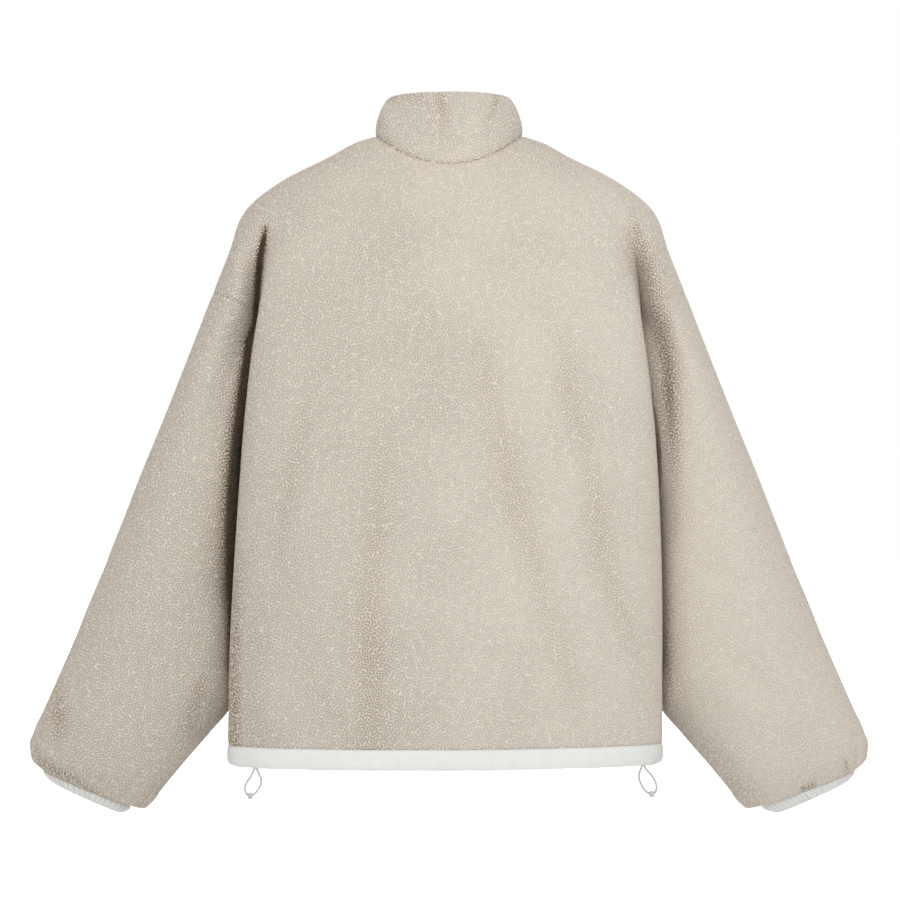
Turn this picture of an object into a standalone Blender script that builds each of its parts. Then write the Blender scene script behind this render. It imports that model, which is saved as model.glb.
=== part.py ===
"""Fleece jacket in its worn shape, with nobody in it: a boxy back and two fronts with dropped
shoulders, two wide sleeves gathered into elastic cuffs, a stand collar, a woven hem band with two
drawcord loops, and a full-length zip. The front faces -Y and the wearer's left is +X. The origin is
between the two neck points, where the neckline rests on the wearer's shoulders.

Sizes are in millimetres and become metres as each mesh is made. A piece of cloth is a wall between
an outer skin and an inner one. The skins come from rings round the body and rings down each sleeve,
and the tables below hold one row for each ring."""

import math
from collections import namedtuple

import bpy
import numpy as np

MM = 0.001
SEAM_GAP = 0.3
FLEECE_WALL = 2.5
COLLAR_WALL = 5.5
ZIP_HALF_OPENING = 6.5

COLOURS = {
    "fleece": (0.57, 0.51, 0.43, 1.0),
    "woven": (0.76, 0.77, 0.75, 1.0),
    "cord": (0.66, 0.67, 0.64, 1.0),
    "metal": (0.62, 0.62, 0.60, 1.0),
}

# How finely the rings are cut: steps from the centre to the side, over the arm, and between rings.
BACK_STEPS = 12
FRONT_STEPS = 10
ARM_STEPS = 7
SKIRT_ROWS = 9
ARMHOLE_ROWS = 7
SHOULDER_ROWS = 9

# Half a ring of the back. at: 0 hem, 1 underarm, 2 top of the armhole, 3 neck seam. z_centre and
# y_centre are on the centre line. half_width and y_edge are where the back turns forward, and
# x_seam is how far out the side seam, or the bottom of the fold between body and arm, lies.
Ring = namedtuple("Ring", "at z_centre y_centre z_side half_width y_edge x_seam roundness")
BACK_RINGS = (
    Ring(0.00, -634.5, 134, -634.5, 226.0, 42, 221, 2.3),
    Ring(0.25, -570, 136, -570, 225.0, 45, 219, 2.3),
    Ring(0.50, -490, 137, -490, 223.5, 49, 216, 2.3),
    Ring(0.75, -410, 136, -410, 220.0, 54, 212, 2.4),
    Ring(1.00, -330, 133, -330, 215.0, 60, 206, 2.5),
    Ring(1.33, -280, 130, -281, 210.5, 64, 203, 2.5),
    Ring(1.67, -229, 126, -232, 204.5, 67, 201, 2.5),
    Ring(2.00, -178, 119, -182, 197.0, 68, 200, 2.5),
    Ring(2.20, -147, 114, -140, 192.0, 66, 196, 2.5),
    Ring(2.40, -117, 108, -100, 186.0, 60, 191, 2.5),
    Ring(2.60, -88, 100, -70, 165.0, 50, 170, 2.4),
    Ring(2.80, -60, 88, -45, 120.0, 40, 125, 2.2),
    Ring(3.00, -32, 72, -20, 70.0, 30, 72, 2.1),
)
FRONT_RINGS = (
    Ring(0.00, -634.5, -130, -634.5, 219.0, -24, 221, 2.3),
    Ring(0.25, -570, -133, -570, 217.0, -25, 219, 2.3),
    Ring(0.50, -490, -134, -490, 214.0, -28, 216, 2.3),
    Ring(0.75, -410, -131, -410, 210.0, -32, 212, 2.3),
    Ring(1.00, -333, -124, -330, 204.0, -42, 206, 2.3),
    Ring(1.33, -284, -118, -281, 200.0, -64, 203, 2.4),
    Ring(1.67, -236, -112, -232, 196.0, -74, 201, 2.4),
    Ring(2.00, -188, -104, -182, 191.0, -78, 200, 2.4),
    Ring(2.20, -166, -99, -140, 187.0, -76, 196, 2.4),
    Ring(2.40, -145, -92, -100, 182.0, -70, 191, 2.4),
    Ring(2.60, -124, -84, -70, 160.0, -58, 170, 2.3),
    Ring(2.80, -103, -74, -45, 116.0, -44, 125, 2.2),
    Ring(3.00, -82, -62, -20, 68.0, -30, 72, 2.1),
)
UNDERARM_Y = -14
FOLD_BOTTOM_Y = {"back": 26, "front": -58}

# The shoulder line from the top of the armhole to the neck, the arm's bulge behind and in front of
# it, and how deep the fold between body and arm is: 1 is whole and 0 is none.
Shoulder = namedtuple("Shoulder", "at x y z arm_back arm_front fold")
SHOULDER_LINE = (
    Shoulder(2.00, 248, -16, -163, 60, -94, 1.00),
    Shoulder(2.20, 231, -13, -121, 58, -88, 0.80),
    Shoulder(2.40, 215, -10, -79, 50, -76, 0.15),
    Shoulder(2.60, 177, -6, -47.5, 40, -60, 0.00),
    Shoulder(2.80, 124, 0, -20.5, 30, -40, 0.00),
    Shoulder(2.90, 100, 3, -7.5, 25, -30, 0.00),
    Shoulder(3.00, 77, 5, 0, 20, -20, 0.00),
)

# Rings down the left sleeve, from the armhole to the cuff: the outermost and innermost points of
# each, how far it reaches back and forward, and how square it is.
Slice = namedtuple("Slice", "at x_out z_out x_in z_in y_mid y_back y_front squareness")
SLEEVE_RINGS = (
    Slice(0.00, 248.0, -163, 206.0, -330, -16, 60, -92, 2.2),
    Slice(0.14, 276.0, -235, 209.5, -352, -18, 63, -98, 2.4),
    Slice(0.27, 304.0, -305, 213.5, -375, -20, 64, -104, 2.4),
    Slice(0.37, 323.5, -352, 217.5, -404, -22, 62, -107, 2.4),
    Slice(0.47, 342.5, -400, 222.5, -447, -24, 60, -109, 2.3),
    Slice(0.57, 362.5, -450, 226.0, -503, -26, 57, -109, 2.3),
    Slice(0.67, 381.5, -495, 228.0, -553, -27, 53, -108, 2.3),
    Slice(0.75, 394.5, -527, 227.5, -594, -28, 50, -106, 2.2),
    Slice(0.83, 412.0, -567, 253.5, -628, -28, 45, -102, 2.2),
    Slice(0.90, 427.5, -602, 282.0, -661, -28, 38, -96, 2.2),
    Slice(0.95, 438.5, -626, 303.5, -687, -28, 29, -86, 2.2),
    Slice(0.98, 442.5, -644, 315.0, -702, -28, 18, -75, 2.2),
    Slice(0.99, 440.0, -656, 322.0, -707, -28, 10, -67, 2.2),
    Slice(1.00, 428.5, -667, 336.5, -704, -28, 1, -58, 2.2),
)
SLEEVE_CUTS = (
    0, 0.04, 0.09, 0.15, 0.21, 0.28, 0.35, 0.42, 0.49, 0.56, 0.63, 0.70, 0.77, 0.83, 0.89, 0.935,
    0.965, 0.983, 0.992, 1,
)

# The cuff hangs below the end of the sleeve: down is the share of the way, bulge and wall are how
# far the band swells and how thick it is, and gather is the height of its gathers.
CUFF_DROP = (-7.0, -11.0, 9.5, -8.0)
CUFF_BACK, CUFF_FRONT = -5.0, -51.0
Band = namedtuple("Band", "down bulge wall gather")
CUFF_ROWS = (
    Band(0.00, 0.0, 2.5, 0.0),
    Band(0.30, 2.2, 3.0, 0.7),
    Band(0.65, 2.0, 3.2, 0.8),
    Band(0.90, 0.6, 3.0, 0.7),
    Band(1.00, -0.6, 1.6, 0.4),
)

# The hem band is a channel of woven cloth sewn to the bottom of the body.
HEM_HEIGHT = 21.5
HEM_ROWS = (
    Band(0.00, 0.0, 2.5, 0),
    Band(0.18, 0.5, 4.2, 0),
    Band(0.50, 0.7, 4.8, 0),
    Band(0.84, 0.2, 4.0, 0),
    Band(1.00, -1.0, 1.6, 0),
)

# The collar is two layers of fleece. Its top edge is an oval, higher behind than in front.
COLLAR_TOP = {"half_width": 65.5, "y_back": 57, "y_middle": -3, "y_front": -65}
COLLAR_TOP_Z = {"back": 43.5, "side": 41.0, "front": -10.0}
COLLAR_ROWS = (
    Band(0.00, 0.0, 2.5, 0),
    Band(0.14, 1.6, 5.0, 0),
    Band(0.52, 2.9, 5.5, 0),
    Band(0.86, 0.5, 5.5, 0),
    Band(0.96, -1.5, 4.4, 0),
    Band(1.00, -3.4, 1.8, 0),
)

ZIP_STEPS = 26
CORD_STEPS = 26

# How far the sleeve stays from the body's side, at places down the sleeve. The right one is fuller,
# and its cuff is drawn in more.
SLEEVE_CLEARANCE = ((0.0, 0.0), (0.04, 6.0), (0.10, 7.0), (0.20, 6.0), (0.40, 3.5), (0.70, 2.0))
RIGHT_SLEEVE_FULLER = 7.5
RIGHT_CUFF_DRAWN_IN = 8.0

# The body hangs this far towards the wearer's left at the hem.
SWAY = 4.0
HEM_LIFT = 2.0

# The zip lies in the slit between the two fronts. Each depth is measured in from the outer skin.
TAPE_REACH = (2.6, 5.9)
TAPE_DEPTH = (0.9, 1.9)
CHAIN_HALF_WIDTH = 2.3
CHAIN_DEPTH = (0.2, 2.6)
SLIDER_BELOW_TOP = 14.0
SLIDER_HALF_LENGTH = 5.5
SLIDER_HALF_WIDTH = 4.3
PLATE = 1.2
PULL_AXIS_OUT = 1.6
PULL_THICKNESS = 1.4
PULL_LENGTH = 25.0
BRIDGE_REACH = 3.6
BRIDGE_HALF_WIDTH = 1.0
ZIP_BOX_LENGTH = 10.0
STOP_LENGTH = 3.0

# The two loops of elastic cord that come out under the hem: where each one leaves the hem, and its
# path from there as steps towards the wearer's left and down.
CORD_DIAMETER = 2.4
CLIP_LENGTH = 4.6
CLIP_RADII = (2.15, 3.1)
LOOP_X = {"left": 195.0, "right": -204.0}
LOOP_PATHS = {
    "left": (
        (1.35, 0), (2.6, 3.6), (5.4, 8.6), (8.6, 13.4), (10.6, 18.5), (10.2, 24), (6.8, 27.8),
        (2.0, 26.6), (-2.8, 21), (-5.6, 15.5), (-5.4, 9.5), (-2.8, 4), (-1.35, 0),
    ),
    "right": (
        (1.35, 0), (2.8, 3.6), (4.3, 8.4), (4.0, 13.4), (1.4, 19.6), (-2.6, 25.2), (-7.6, 28.4),
        (-12.0, 27.0), (-13.8, 21.0), (-11.6, 14), (-7.6, 8), (-3.4, 3.4), (-1.35, 0),
    ),
}



def unit(vectors):
    """The same direction at length 1. Nothing stays nothing."""
    length = np.linalg.norm(vectors, axis=-1, keepdims=True)
    return vectors / np.maximum(length, 1e-12)


def column(table, name):
    return np.array([getattr(row, name) for row in table], float)


def along(table, name, at):
    """A column of a table as a smooth curve through its rows, read at one place or at many."""
    knots, values = column(table, "at"), column(table, name)
    slopes = np.gradient(values, knots)
    at = np.clip(np.asarray(at, float), knots[0], knots[-1])
    i = np.clip(np.searchsorted(knots, at, side="right") - 1, 0, len(knots) - 2)
    width = knots[i + 1] - knots[i]
    t = (at - knots[i]) / width
    return (
        values[i] * (1 + 2 * t) * (1 - t) ** 2
        + slopes[i] * width * t * (1 - t) ** 2
        + values[i + 1] * t * t * (3 - 2 * t)
        + slopes[i + 1] * width * t * t * (t - 1)
    )


def evenly(points, steps):
    """The same line, cut into equal steps."""
    lengths = np.linalg.norm(np.diff(points, axis=0), axis=1)
    reached = np.concatenate([[0.0], np.cumsum(lengths)])
    wanted = np.linspace(0.0, reached[-1], steps + 1)
    return np.stack([np.interp(wanted, reached, points[:, k]) for k in range(3)], axis=1)


def ease(share):
    share = np.clip(share, 0.0, 1.0)
    return share * share * (3 - 2 * share)


FINE = 60
SIDE_ROWS = range(SKIRT_ROWS + ARMHOLE_ROWS + 1)


def from_opening(points, face):
    """A front ring starts at the edge of the zip's slit instead of at the centre line."""
    if face == "back":
        return points
    first = int(np.argmax(points[:, 0] > ZIP_HALF_OPENING))
    before, after = points[first - 1], points[first]
    share = (ZIP_HALF_OPENING - before[0]) / (after[0] - before[0])
    return np.vstack([before + (after - before) * share, points[first:]])


def fold_bottom(face, at):
    """How far back or forward the armhole seam lies: a U that starts at the underarm."""
    rise = np.sin(0.5 * math.pi * np.clip(at - 1.0, 0.0, 1.0)) ** 0.5
    depth = UNDERARM_Y + (FOLD_BOTTOM_Y[face] - UNDERARM_Y) * rise
    above = np.clip((at - 2.0) / 0.4, 0.0, 1.0)
    return depth + above * (16 if face == "back" else -6)


def body_ring(face, at, steps, arm_steps):
    """Half a ring of the wearer's left side, from the centre line to the side seam or the bottom of
    the fold and, above the armhole, on over the arm to the shoulder line."""
    rings = BACK_RINGS if face == "back" else FRONT_RINGS
    z_centre, y_centre, z_side, half, y_edge, x_seam, power = (
        float(along(rings, name, at)) for name in Ring._fields[1:]
    )
    if at <= 1.0:
        y_seam = float(np.interp(at, [0, 1], [-8, UNDERARM_Y]))
    else:
        y_seam = float(fold_bottom(face, at))
    turn = np.linspace(0.0, 0.5 * math.pi, FINE)
    x = half * np.sin(turn) ** (2 / power)
    y = y_edge + (y_centre - y_edge) * np.cos(turn) ** (2 / power)
    wall = np.linspace(0.0, 1.0, FINE // 2)[1:]
    x = np.concatenate([x, half + (x_seam - half) * 0.5 * (1 - np.cos(math.pi * wall))])
    y = np.concatenate([y, y_edge + (y_seam - y_edge) * wall])
    reach = np.linspace(0.0, 1.0, len(x))
    z = z_centre + (z_side - z_centre) * ease(reach)
    torso = from_opening(np.stack([x, y, z], axis=1), face)
    if at < 2.0:
        return evenly(torso, steps)
    x_ridge, y_ridge, z_ridge, arm_back, arm_front, fold = (
        float(along(SHOULDER_LINE, name, at)) for name in Shoulder._fields[1:]
    )
    fold = min(max(fold, 0.0), 1.0)
    arm_y = arm_back if face == "back" else arm_front
    x_arm = x_seam + 0.48 * (x_ridge - x_seam)
    rise = np.linspace(0.0, 0.5 * math.pi, FINE)
    up = np.stack(
        [
            x_seam + (x_arm - x_seam) * rise / (0.5 * math.pi),
            y_seam + (arm_y - y_seam) * np.sin(rise),
        ],
        axis=1,
    )
    over = np.stack(
        [
            x_arm + (x_ridge - x_arm) * np.sin(rise),
            y_ridge + (arm_y - y_ridge) * np.cos(rise),
        ],
        axis=1,
    )
    arm = np.concatenate([up, over[1:]])
    arm_z = z_side + (z_ridge - z_side) * ease(np.linspace(0.0, 1.0, len(arm)))
    arm = np.column_stack([arm, arm_z])
    creased = np.concatenate([evenly(torso, steps), evenly(arm, arm_steps)[1:]])
    plain_x = x_ridge * np.sin(turn) ** (2 / power)
    plain_y = y_ridge + (y_centre - y_ridge) * np.cos(turn) ** (2 / power)
    plain_z = z_centre + (z_ridge - z_centre) * np.sin(turn) ** 2
    plain = from_opening(np.stack([plain_x, plain_y, plain_z], axis=1), face)
    plain = evenly(plain, steps + arm_steps)
    return plain + (creased - plain) * fold


def body_rows():
    """Where the rings of the body are cut, and which of them are the underarm and armhole top."""
    skirt = np.linspace(0.0, 1.0, SKIRT_ROWS + 1)
    armhole = 1.0 + np.linspace(0.0, 1.0, ARMHOLE_ROWS + 1)[1:] ** 1.4
    shoulder = np.linspace(2.0, 3.0, SHOULDER_ROWS + 1)[1:]
    return np.concatenate([skirt, armhole, shoulder])


def body_half(face):
    """The left half of the back or front as a grid. Cells past the fold exist only above the
    armhole, and the points of the others are left as NaN."""
    steps = BACK_STEPS if face == "back" else FRONT_STEPS
    grid = np.full((len(body_rows()), steps + ARM_STEPS + 1, 3), np.nan)
    for row, at in enumerate(body_rows()):
        ring = body_ring(face, at, steps, ARM_STEPS)
        grid[row, : len(ring)] = ring
    return grid


def armhole_loop(back, front):
    """The armhole seam, from the shoulder line round behind the arm to the underarm, and back up in
    front of it."""
    top = SKIRT_ROWS + ARMHOLE_ROWS
    behind = [back[top, c] for c in range(BACK_STEPS + ARM_STEPS, BACK_STEPS, -1)]
    down = [back[r, BACK_STEPS] for r in range(top, SKIRT_ROWS, -1)]
    up = [front[r, FRONT_STEPS] for r in range(SKIRT_ROWS, top)]
    before = [front[top, c] for c in range(FRONT_STEPS, FRONT_STEPS + ARM_STEPS)]
    return np.array(behind + down + up + before)


def sleeve_grid(loop, side, back, front):
    """Rings down a sleeve, on the left. The first is the armhole seam, and the rest become plain
    slanted rings within a hand's breadth of it. They stay clear of the body beside them."""
    turn = 2 * math.pi * np.arange(len(loop)) / len(loop)
    rows = np.array(SLEEVE_CUTS, float)
    grid = np.array([sleeve_ring(at, turn, side) for at in rows])
    fade = np.clip(1 - rows / 0.3, 0.0, 1.0) ** 2
    grid = grid + (loop - grid[0])[None] * fade[:, None, None]
    sway = body_sway(grid[1:]) * (1 if side == "left" else -1)
    gap = np.interp(rows[1:], *zip(*SLEEVE_CLEARANCE))[:, None]
    grid[1:, :, 0] = np.maximum(grid[1:, :, 0], body_side(grid[1:], back, front) + sway + gap)
    return grid


def sleeve_ring(at, turn, side):
    size = {name: float(along(SLEEVE_RINGS, name, at)) for name in Slice._fields[1:]}
    if side == "right":
        size["x_in"] -= RIGHT_SLEEVE_FULLER * float(ease((at - 0.3) / 0.3))
    return slanted_oval(size, turn)


def body_side(points, back, front):
    """How far out the side of the body is, level with each point. Nothing is beside a point above
    the armhole or below the hem."""
    lines = [round_left(back[r, : BACK_STEPS + 1], front[r, : FRONT_STEPS + 1])[::-1] for r in SIDE_ROWS]
    heights = [float(back[r, BACK_STEPS, 2]) for r in SIDE_ROWS]
    flat = points.reshape(-1, 3)
    at_rows = np.array([np.interp(flat[:, 1], line[:, 1], line[:, 0]) for line in lines])
    found = [
        np.interp(z, heights, at_rows[:, k]) if heights[0] - HEM_HEIGHT < z < heights[-1] else 0.0
        for k, z in enumerate(flat[:, 2])
    ]
    return np.array(found).reshape(points.shape[:-1])


def slanted_oval(size, turn):
    power = 2 / size["squareness"]
    across = np.sign(np.cos(turn)) * np.abs(np.cos(turn)) ** power
    depth = np.sign(np.sin(turn)) * np.abs(np.sin(turn)) ** power
    share = (1 + across) / 2
    x = size["x_in"] + (size["x_out"] - size["x_in"]) * share
    z = size["z_in"] + (size["z_out"] - size["z_in"]) * share
    behind, before = size["y_back"] - size["y_mid"], size["y_mid"] - size["y_front"]
    y = size["y_mid"] + np.where(depth > 0, behind, before) * depth
    return np.stack([x, y, z], axis=1)


def mirrored(grid):
    return grid * np.array([-1.0, 1.0, 1.0])


def body_sway(points):
    """How far the body hangs to one side: nothing at the underarm and SWAY at the hem."""
    underarm, hem = BACK_RINGS[4].z_side, BACK_RINGS[0].z_side
    return SWAY * ease((underarm - points[..., 2]) / (underarm - hem))


def swayed(points):
    """The body as it hangs: swayed to one side, and lifted a little at the bottom right."""
    points = np.array(points, float)
    sway = body_sway(points)
    points[..., 2] += HEM_LIFT * sway / SWAY * ease(-points[..., 0] / 200)
    points[..., 0] += sway
    return points


def outward(line):
    """Level unit vectors that point away from the garment along a line that runs from the centre
    back round the wearer's left to the centre front."""
    run = np.gradient(line, axis=0)
    across = np.stack([-run[:, 1], run[:, 0], np.zeros(len(line))], axis=1)
    return across / np.linalg.norm(across, axis=1)[:, None]


def round_left(back_ring, front_ring):
    """One ring of the left side, from the centre back to the edge of the zip's slit."""
    return np.vstack([back_ring, front_ring[::-1][1:]])


def full_round(left):
    """Rows of the left side, each joined at the centre back to its mirror image on the right."""
    return np.concatenate([mirrored(left)[:, :0:-1], left], axis=1)


def hem_grid(back, front):
    top = round_left(back[0, : BACK_STEPS + 1], front[0, : FRONT_STEPS + 1])
    out = outward(top)
    out[0] = (0.0, 1.0, 0.0)
    drop = np.array([0.0, 0.0, -HEM_HEIGHT])
    rows = np.array([top + drop * row.down + out * row.bulge for row in HEM_ROWS])
    rows[:, -1, 0] = ZIP_HALF_OPENING
    return rows


def collar_grid(back, front):
    """The outer skin of the collar's left half, from the neck seam up to its rounded top."""
    seam = round_left(back[-1], front[-1])
    top = COLLAR_TOP
    turn = np.arctan2(seam[:, 0] / 77.0, (seam[:, 1] - 4.0) / np.where(seam[:, 1] > 4, 68, 66))
    reach = np.where(np.cos(turn) > 0, top["y_back"], top["y_front"]) - top["y_middle"]
    rim_x = top["half_width"] * np.sin(turn)
    rim_y = top["y_middle"] + np.abs(np.cos(turn)) * reach
    rim = np.stack([rim_x, rim_y, rim_height(turn)], axis=1)
    out = outward(seam)
    out[0] = (0.0, 1.0, 0.0)
    rows = np.array([seam + (rim - seam) * row.down + out * row.bulge for row in COLLAR_ROWS])
    rows[:, -1, 0] = ZIP_HALF_OPENING
    return rows


def rim_height(turn):
    """The collar's top edge, level behind and falling towards the front."""
    back, side, front = (COLLAR_TOP_Z[k] for k in ("back", "side", "front"))
    behind = side + (back - side) * np.cos(turn)
    before = front + (side - front) * np.cos(np.clip(turn - 0.5 * math.pi, 0, None)) ** 2
    return np.where(np.cos(turn) > 0, behind, before)


def cuff_grid(ring, side):
    """The cuff's outer skin. It has two points for each one of the sleeve's last ring, and every
    second point is raised into a gather."""
    count = 2 * len(ring)
    seam = np.empty((count, 3))
    seam[0::2] = ring
    seam[1::2] = (ring + np.roll(ring, -1, axis=0)) / 2
    low = dict(zip(Slice._fields[1:], SLEEVE_RINGS[-1][1:]))
    if side == "right":
        low["x_in"] -= RIGHT_SLEEVE_FULLER - RIGHT_CUFF_DRAWN_IN
    low["x_out"] += CUFF_DROP[0]
    low["z_out"] += CUFF_DROP[1]
    low["x_in"] += CUFF_DROP[2]
    low["z_in"] += CUFF_DROP[3]
    low["y_back"], low["y_front"] = CUFF_BACK, CUFF_FRONT
    mouth = slanted_oval(low, 2 * math.pi * np.arange(count) / count)
    centre = mouth.mean(axis=0)
    out = mouth - centre
    out /= np.linalg.norm(out, axis=1)[:, None]
    raised = np.where(np.arange(count) % 2 == 0, 1.0, 0.0)
    rows = []
    for row in CUFF_ROWS:
        swell = row.bulge + row.gather * raised
        rows.append(seam + (mouth - seam) * row.down + out * swell[:, None])
    return np.array(rows)


class Skin:
    """The outer skin of every cloth piece. Pieces share the points of their seams, so the walls on
    the two sides of a seam turn together and stay SEAM_GAP apart."""

    def __init__(self):
        self.points = []
        self.walls = []
        self.index = {}
        self.cells = {}

    def add(self, piece, grid, walls=None, closed=False, inside_out=False):
        rows, columns = grid.shape[:2]
        walls = [FLEECE_WALL] * rows if walls is None else walls
        number = np.full((rows, columns), -1)
        for row in range(rows):
            for col in range(columns):
                if not np.isnan(grid[row, col, 0]):
                    number[row, col] = self.point(grid[row, col], walls[row])
        cells = self.cells.setdefault(piece, [])
        for row in range(rows - 1):
            for col in range(columns if closed else columns - 1):
                beside = (col + 1) % columns
                cell = (number[row, col], number[row, beside], number[row + 1, beside], number[row + 1, col])
                if min(cell) >= 0:
                    cells.append(cell[::-1] if inside_out else cell)

    def point(self, place, wall):
        key = tuple(int(round(value * 1000)) for value in place)
        if key not in self.index:
            self.index[key] = len(self.points)
            self.points.append(np.array(place, float))
            self.walls.append(wall)
        return self.index[key]

    def settle(self):
        """Works out, for each point, which way the wall runs through the cloth and how far. At the
        seam between the body and another piece it halves the angle between the two."""
        self.points = np.array(self.points)
        totals = {}
        for piece, cells in self.cells.items():
            group = "body" if piece.startswith(("back", "front")) else piece
            total = totals.setdefault(group, np.zeros_like(self.points))
            for cell in cells:
                for k in range(4):
                    here, after, before = (self.points[cell[(k + s) % 4]] for s in (0, 1, 3))
                    side = np.cross(after - here, before - here)
                    corner = math.atan2(np.linalg.norm(side), float((after - here) @ (before - here)))
                    total[cell[k]] += unit(side) * corner
        total = sum(unit(part) for part in totals.values())
        count = sum(np.linalg.norm(part, axis=1) > 0 for part in totals.values())
        sharp = np.clip(np.linalg.norm(total, axis=1) / count, 0.7, 1.0)
        self.through = unit(total) * (np.array(self.walls) / sharp)[:, None]
        self.seams = self.edge_normals()

    def edge_normals(self):
        """The mean of the normals on the two sides of each edge."""
        found = {}
        for cells in self.cells.values():
            for cell in cells:
                a, b, c, d = (self.points[k] for k in cell)
                face = unit(np.cross(c - a, d - b))
                for k in range(4):
                    edge = frozenset((cell[k], cell[(k + 1) % 4]))
                    found[edge] = found.get(edge, 0.0) + face
        return {edge: unit(total) for edge, total in found.items()}

    def walled(self, piece):
        """A closed wall: the outer skin, the inner skin, and a rim all round."""
        cells = self.cells[piece]
        used = sorted({int(k) for cell in cells for k in cell})
        place = {k: i for i, k in enumerate(used)}
        directed = {(cell[k], cell[(k + 1) % 4]) for cell in cells for k in range(4)}
        rim = [edge for edge in directed if edge[::-1] not in directed]
        rim.sort()
        into = {}
        for a, b in rim:
            run = self.points[b] - self.points[a]
            inward = unit(np.cross(self.seams[frozenset((a, b))], run))
            for k in (a, b):
                into.setdefault(k, []).append(inward)
        outer = self.points[used].copy()
        for k, ways in into.items():
            first, second = ways
            outer[place[k]] += (first + second) / (1 + float(first @ second)) * SEAM_GAP / 2
        inner = outer - self.through[used]
        count = len(used)
        faces = [[place[k] for k in cell] for cell in cells]
        faces += [[place[k] + count for k in cell[::-1]] for cell in cells]
        for edge in rim:
            a, b = (place[k] for k in edge)
            if edge[0] < edge[1]:
                faces += [[b, a, b + count], [a, a + count, b + count]]
            else:
                faces += [[b, a, a + count], [b, a + count, b + count]]
        return np.vstack([outer, inner]), faces


def garment_skin():
    back, front = body_half("back"), body_half("front")
    hem, collar = hem_grid(back, front), collar_grid(back, front)
    loop = armhole_loop(back, front)
    sleeves = {side: sleeve_grid(loop, side, back, front) for side in ("left", "right")}
    cuffs = {side: cuff_grid(sleeve[-1], side) for side, sleeve in sleeves.items()}
    skin = Skin()
    skin.add("back", swayed(full_round(back)), inside_out=True)
    skin.add("front_left", swayed(front))
    skin.add("front_right", swayed(mirrored(front)), inside_out=True)
    skin.add("sleeve_left", sleeves["left"], closed=True, inside_out=True)
    skin.add("sleeve_right", mirrored(sleeves["right"]), closed=True)
    skin.add("collar", full_round(collar), [row.wall for row in COLLAR_ROWS], inside_out=True)
    skin.add("hem_band", swayed(full_round(hem)), [row.wall for row in HEM_ROWS])
    cuff_walls = [row.wall for row in CUFF_ROWS]
    skin.add("cuff_left", cuffs["left"], cuff_walls, closed=True, inside_out=True)
    skin.add("cuff_right", mirrored(cuffs["right"]), cuff_walls, closed=True)
    skin.settle()
    return skin, front, hem, collar


def centre_front(front, hem, collar):
    """The centre line of the zip from the bottom of the hem band to the top of the collar, and the
    way out of the cloth at each of its points."""
    column = np.vstack([hem[:0:-1, -1], front[:, 0], collar[1:, -1]])
    column[:, 0] = 0.0
    level = column.copy()
    level[: len(hem), 1] = front[0, 0, 1]
    top = len(column) - len(collar)
    level[top:, 1] = np.interp(
        column[top:, 2], column[[top, -3], 2], column[[top, -3], 1]
    )
    line = evenly(level, ZIP_STEPS)
    run = np.gradient(line, axis=0)
    out = np.stack([np.zeros(len(line)), -run[:, 2], run[:, 1]], axis=1)
    return line, out / np.linalg.norm(out, axis=1)[:, None]


def between(line, out, low, high):
    """The stretch of the zip's centre line between two lengths up from its bottom end."""
    reached = np.concatenate([[0], np.cumsum(np.linalg.norm(np.diff(line, axis=0), axis=1))])
    inside = [d for d in reached if low + 1 < d < high - 1]
    wanted = np.array([low] + inside + [high])
    part = np.stack([np.interp(wanted, reached, line[:, k]) for k in range(3)], axis=1)
    ways = np.stack([np.interp(wanted, reached, out[:, k]) for k in range(3)], axis=1)
    return part, ways / np.linalg.norm(ways, axis=1)[:, None]


def strip(line, out, sides, depths):
    """A flat strip along the zip, as points and faces."""
    (x0, x1), (d0, d1) = sorted(sides), depths
    points = []
    for place, way in zip(line, out):
        for x, depth in ((x0, d0), (x1, d0), (x1, d1), (x0, d1)):
            points.append(place + np.array([x, 0, 0]) - way * depth)
    points = swayed(points)
    count = len(line)
    faces = [[0, 1, 2, 3][::-1]]
    faces.append([4 * (count - 1) + k for k in range(4)])
    for step in range(count - 1):
        for k in range(4):
            a, b = 4 * step + k, 4 * step + (k + 1) % 4
            faces.append([a, b, b + 4, a + 4])
    return points, faces


def stacked(outlines):
    """A solid through outlines that all have the same number of points, closed at both ends."""
    count = len(outlines[0])
    points = np.vstack(outlines)
    faces = [list(range(count))[::-1], [len(points) - count + k for k in range(count)]]
    for layer in range(len(outlines) - 1):
        for k in range(count):
            a, b = layer * count + k, layer * count + (k + 1) % count
            faces.append([a, b, b + count, a + count])
    return points, faces


def ringed(rings):
    """A solid with a hole right through it: the rings follow one another all the way round."""
    count = len(rings[0])
    points = np.vstack(rings)
    faces = []
    for layer in range(len(rings)):
        here, beyond = layer * count, (layer + 1) % len(rings) * count
        for k in range(count):
            beside = (k + 1) % count
            faces.append([beyond + k, beyond + beside, here + beside, here + k])
    return points, faces


def rounded_outline(half_x, low, high, corner, depth):
    """An oblong with cut corners, facing out of the cloth at one depth."""
    corners = [
        (half_x, low + corner), (half_x, high - corner), (half_x - corner, high),
        (corner - half_x, high), (-half_x, high - corner), (-half_x, low + corner),
        (corner - half_x, low), (half_x - corner, low),
    ]
    return np.array([(x, depth, z) for x, z in corners], float)


def add_mesh(name, points, faces, colour, smooth=True):
    mesh = bpy.data.meshes.new(name)
    mesh.from_pydata([tuple(float(v) * MM for v in p) for p in points], [], faces)
    mesh.update()
    mesh.polygons.foreach_set("use_smooth", [smooth] * len(mesh.polygons))
    piece = bpy.data.objects.new(name, mesh)
    bpy.context.scene.collection.objects.link(piece)
    give_material(piece, colour)
    return piece


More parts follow.
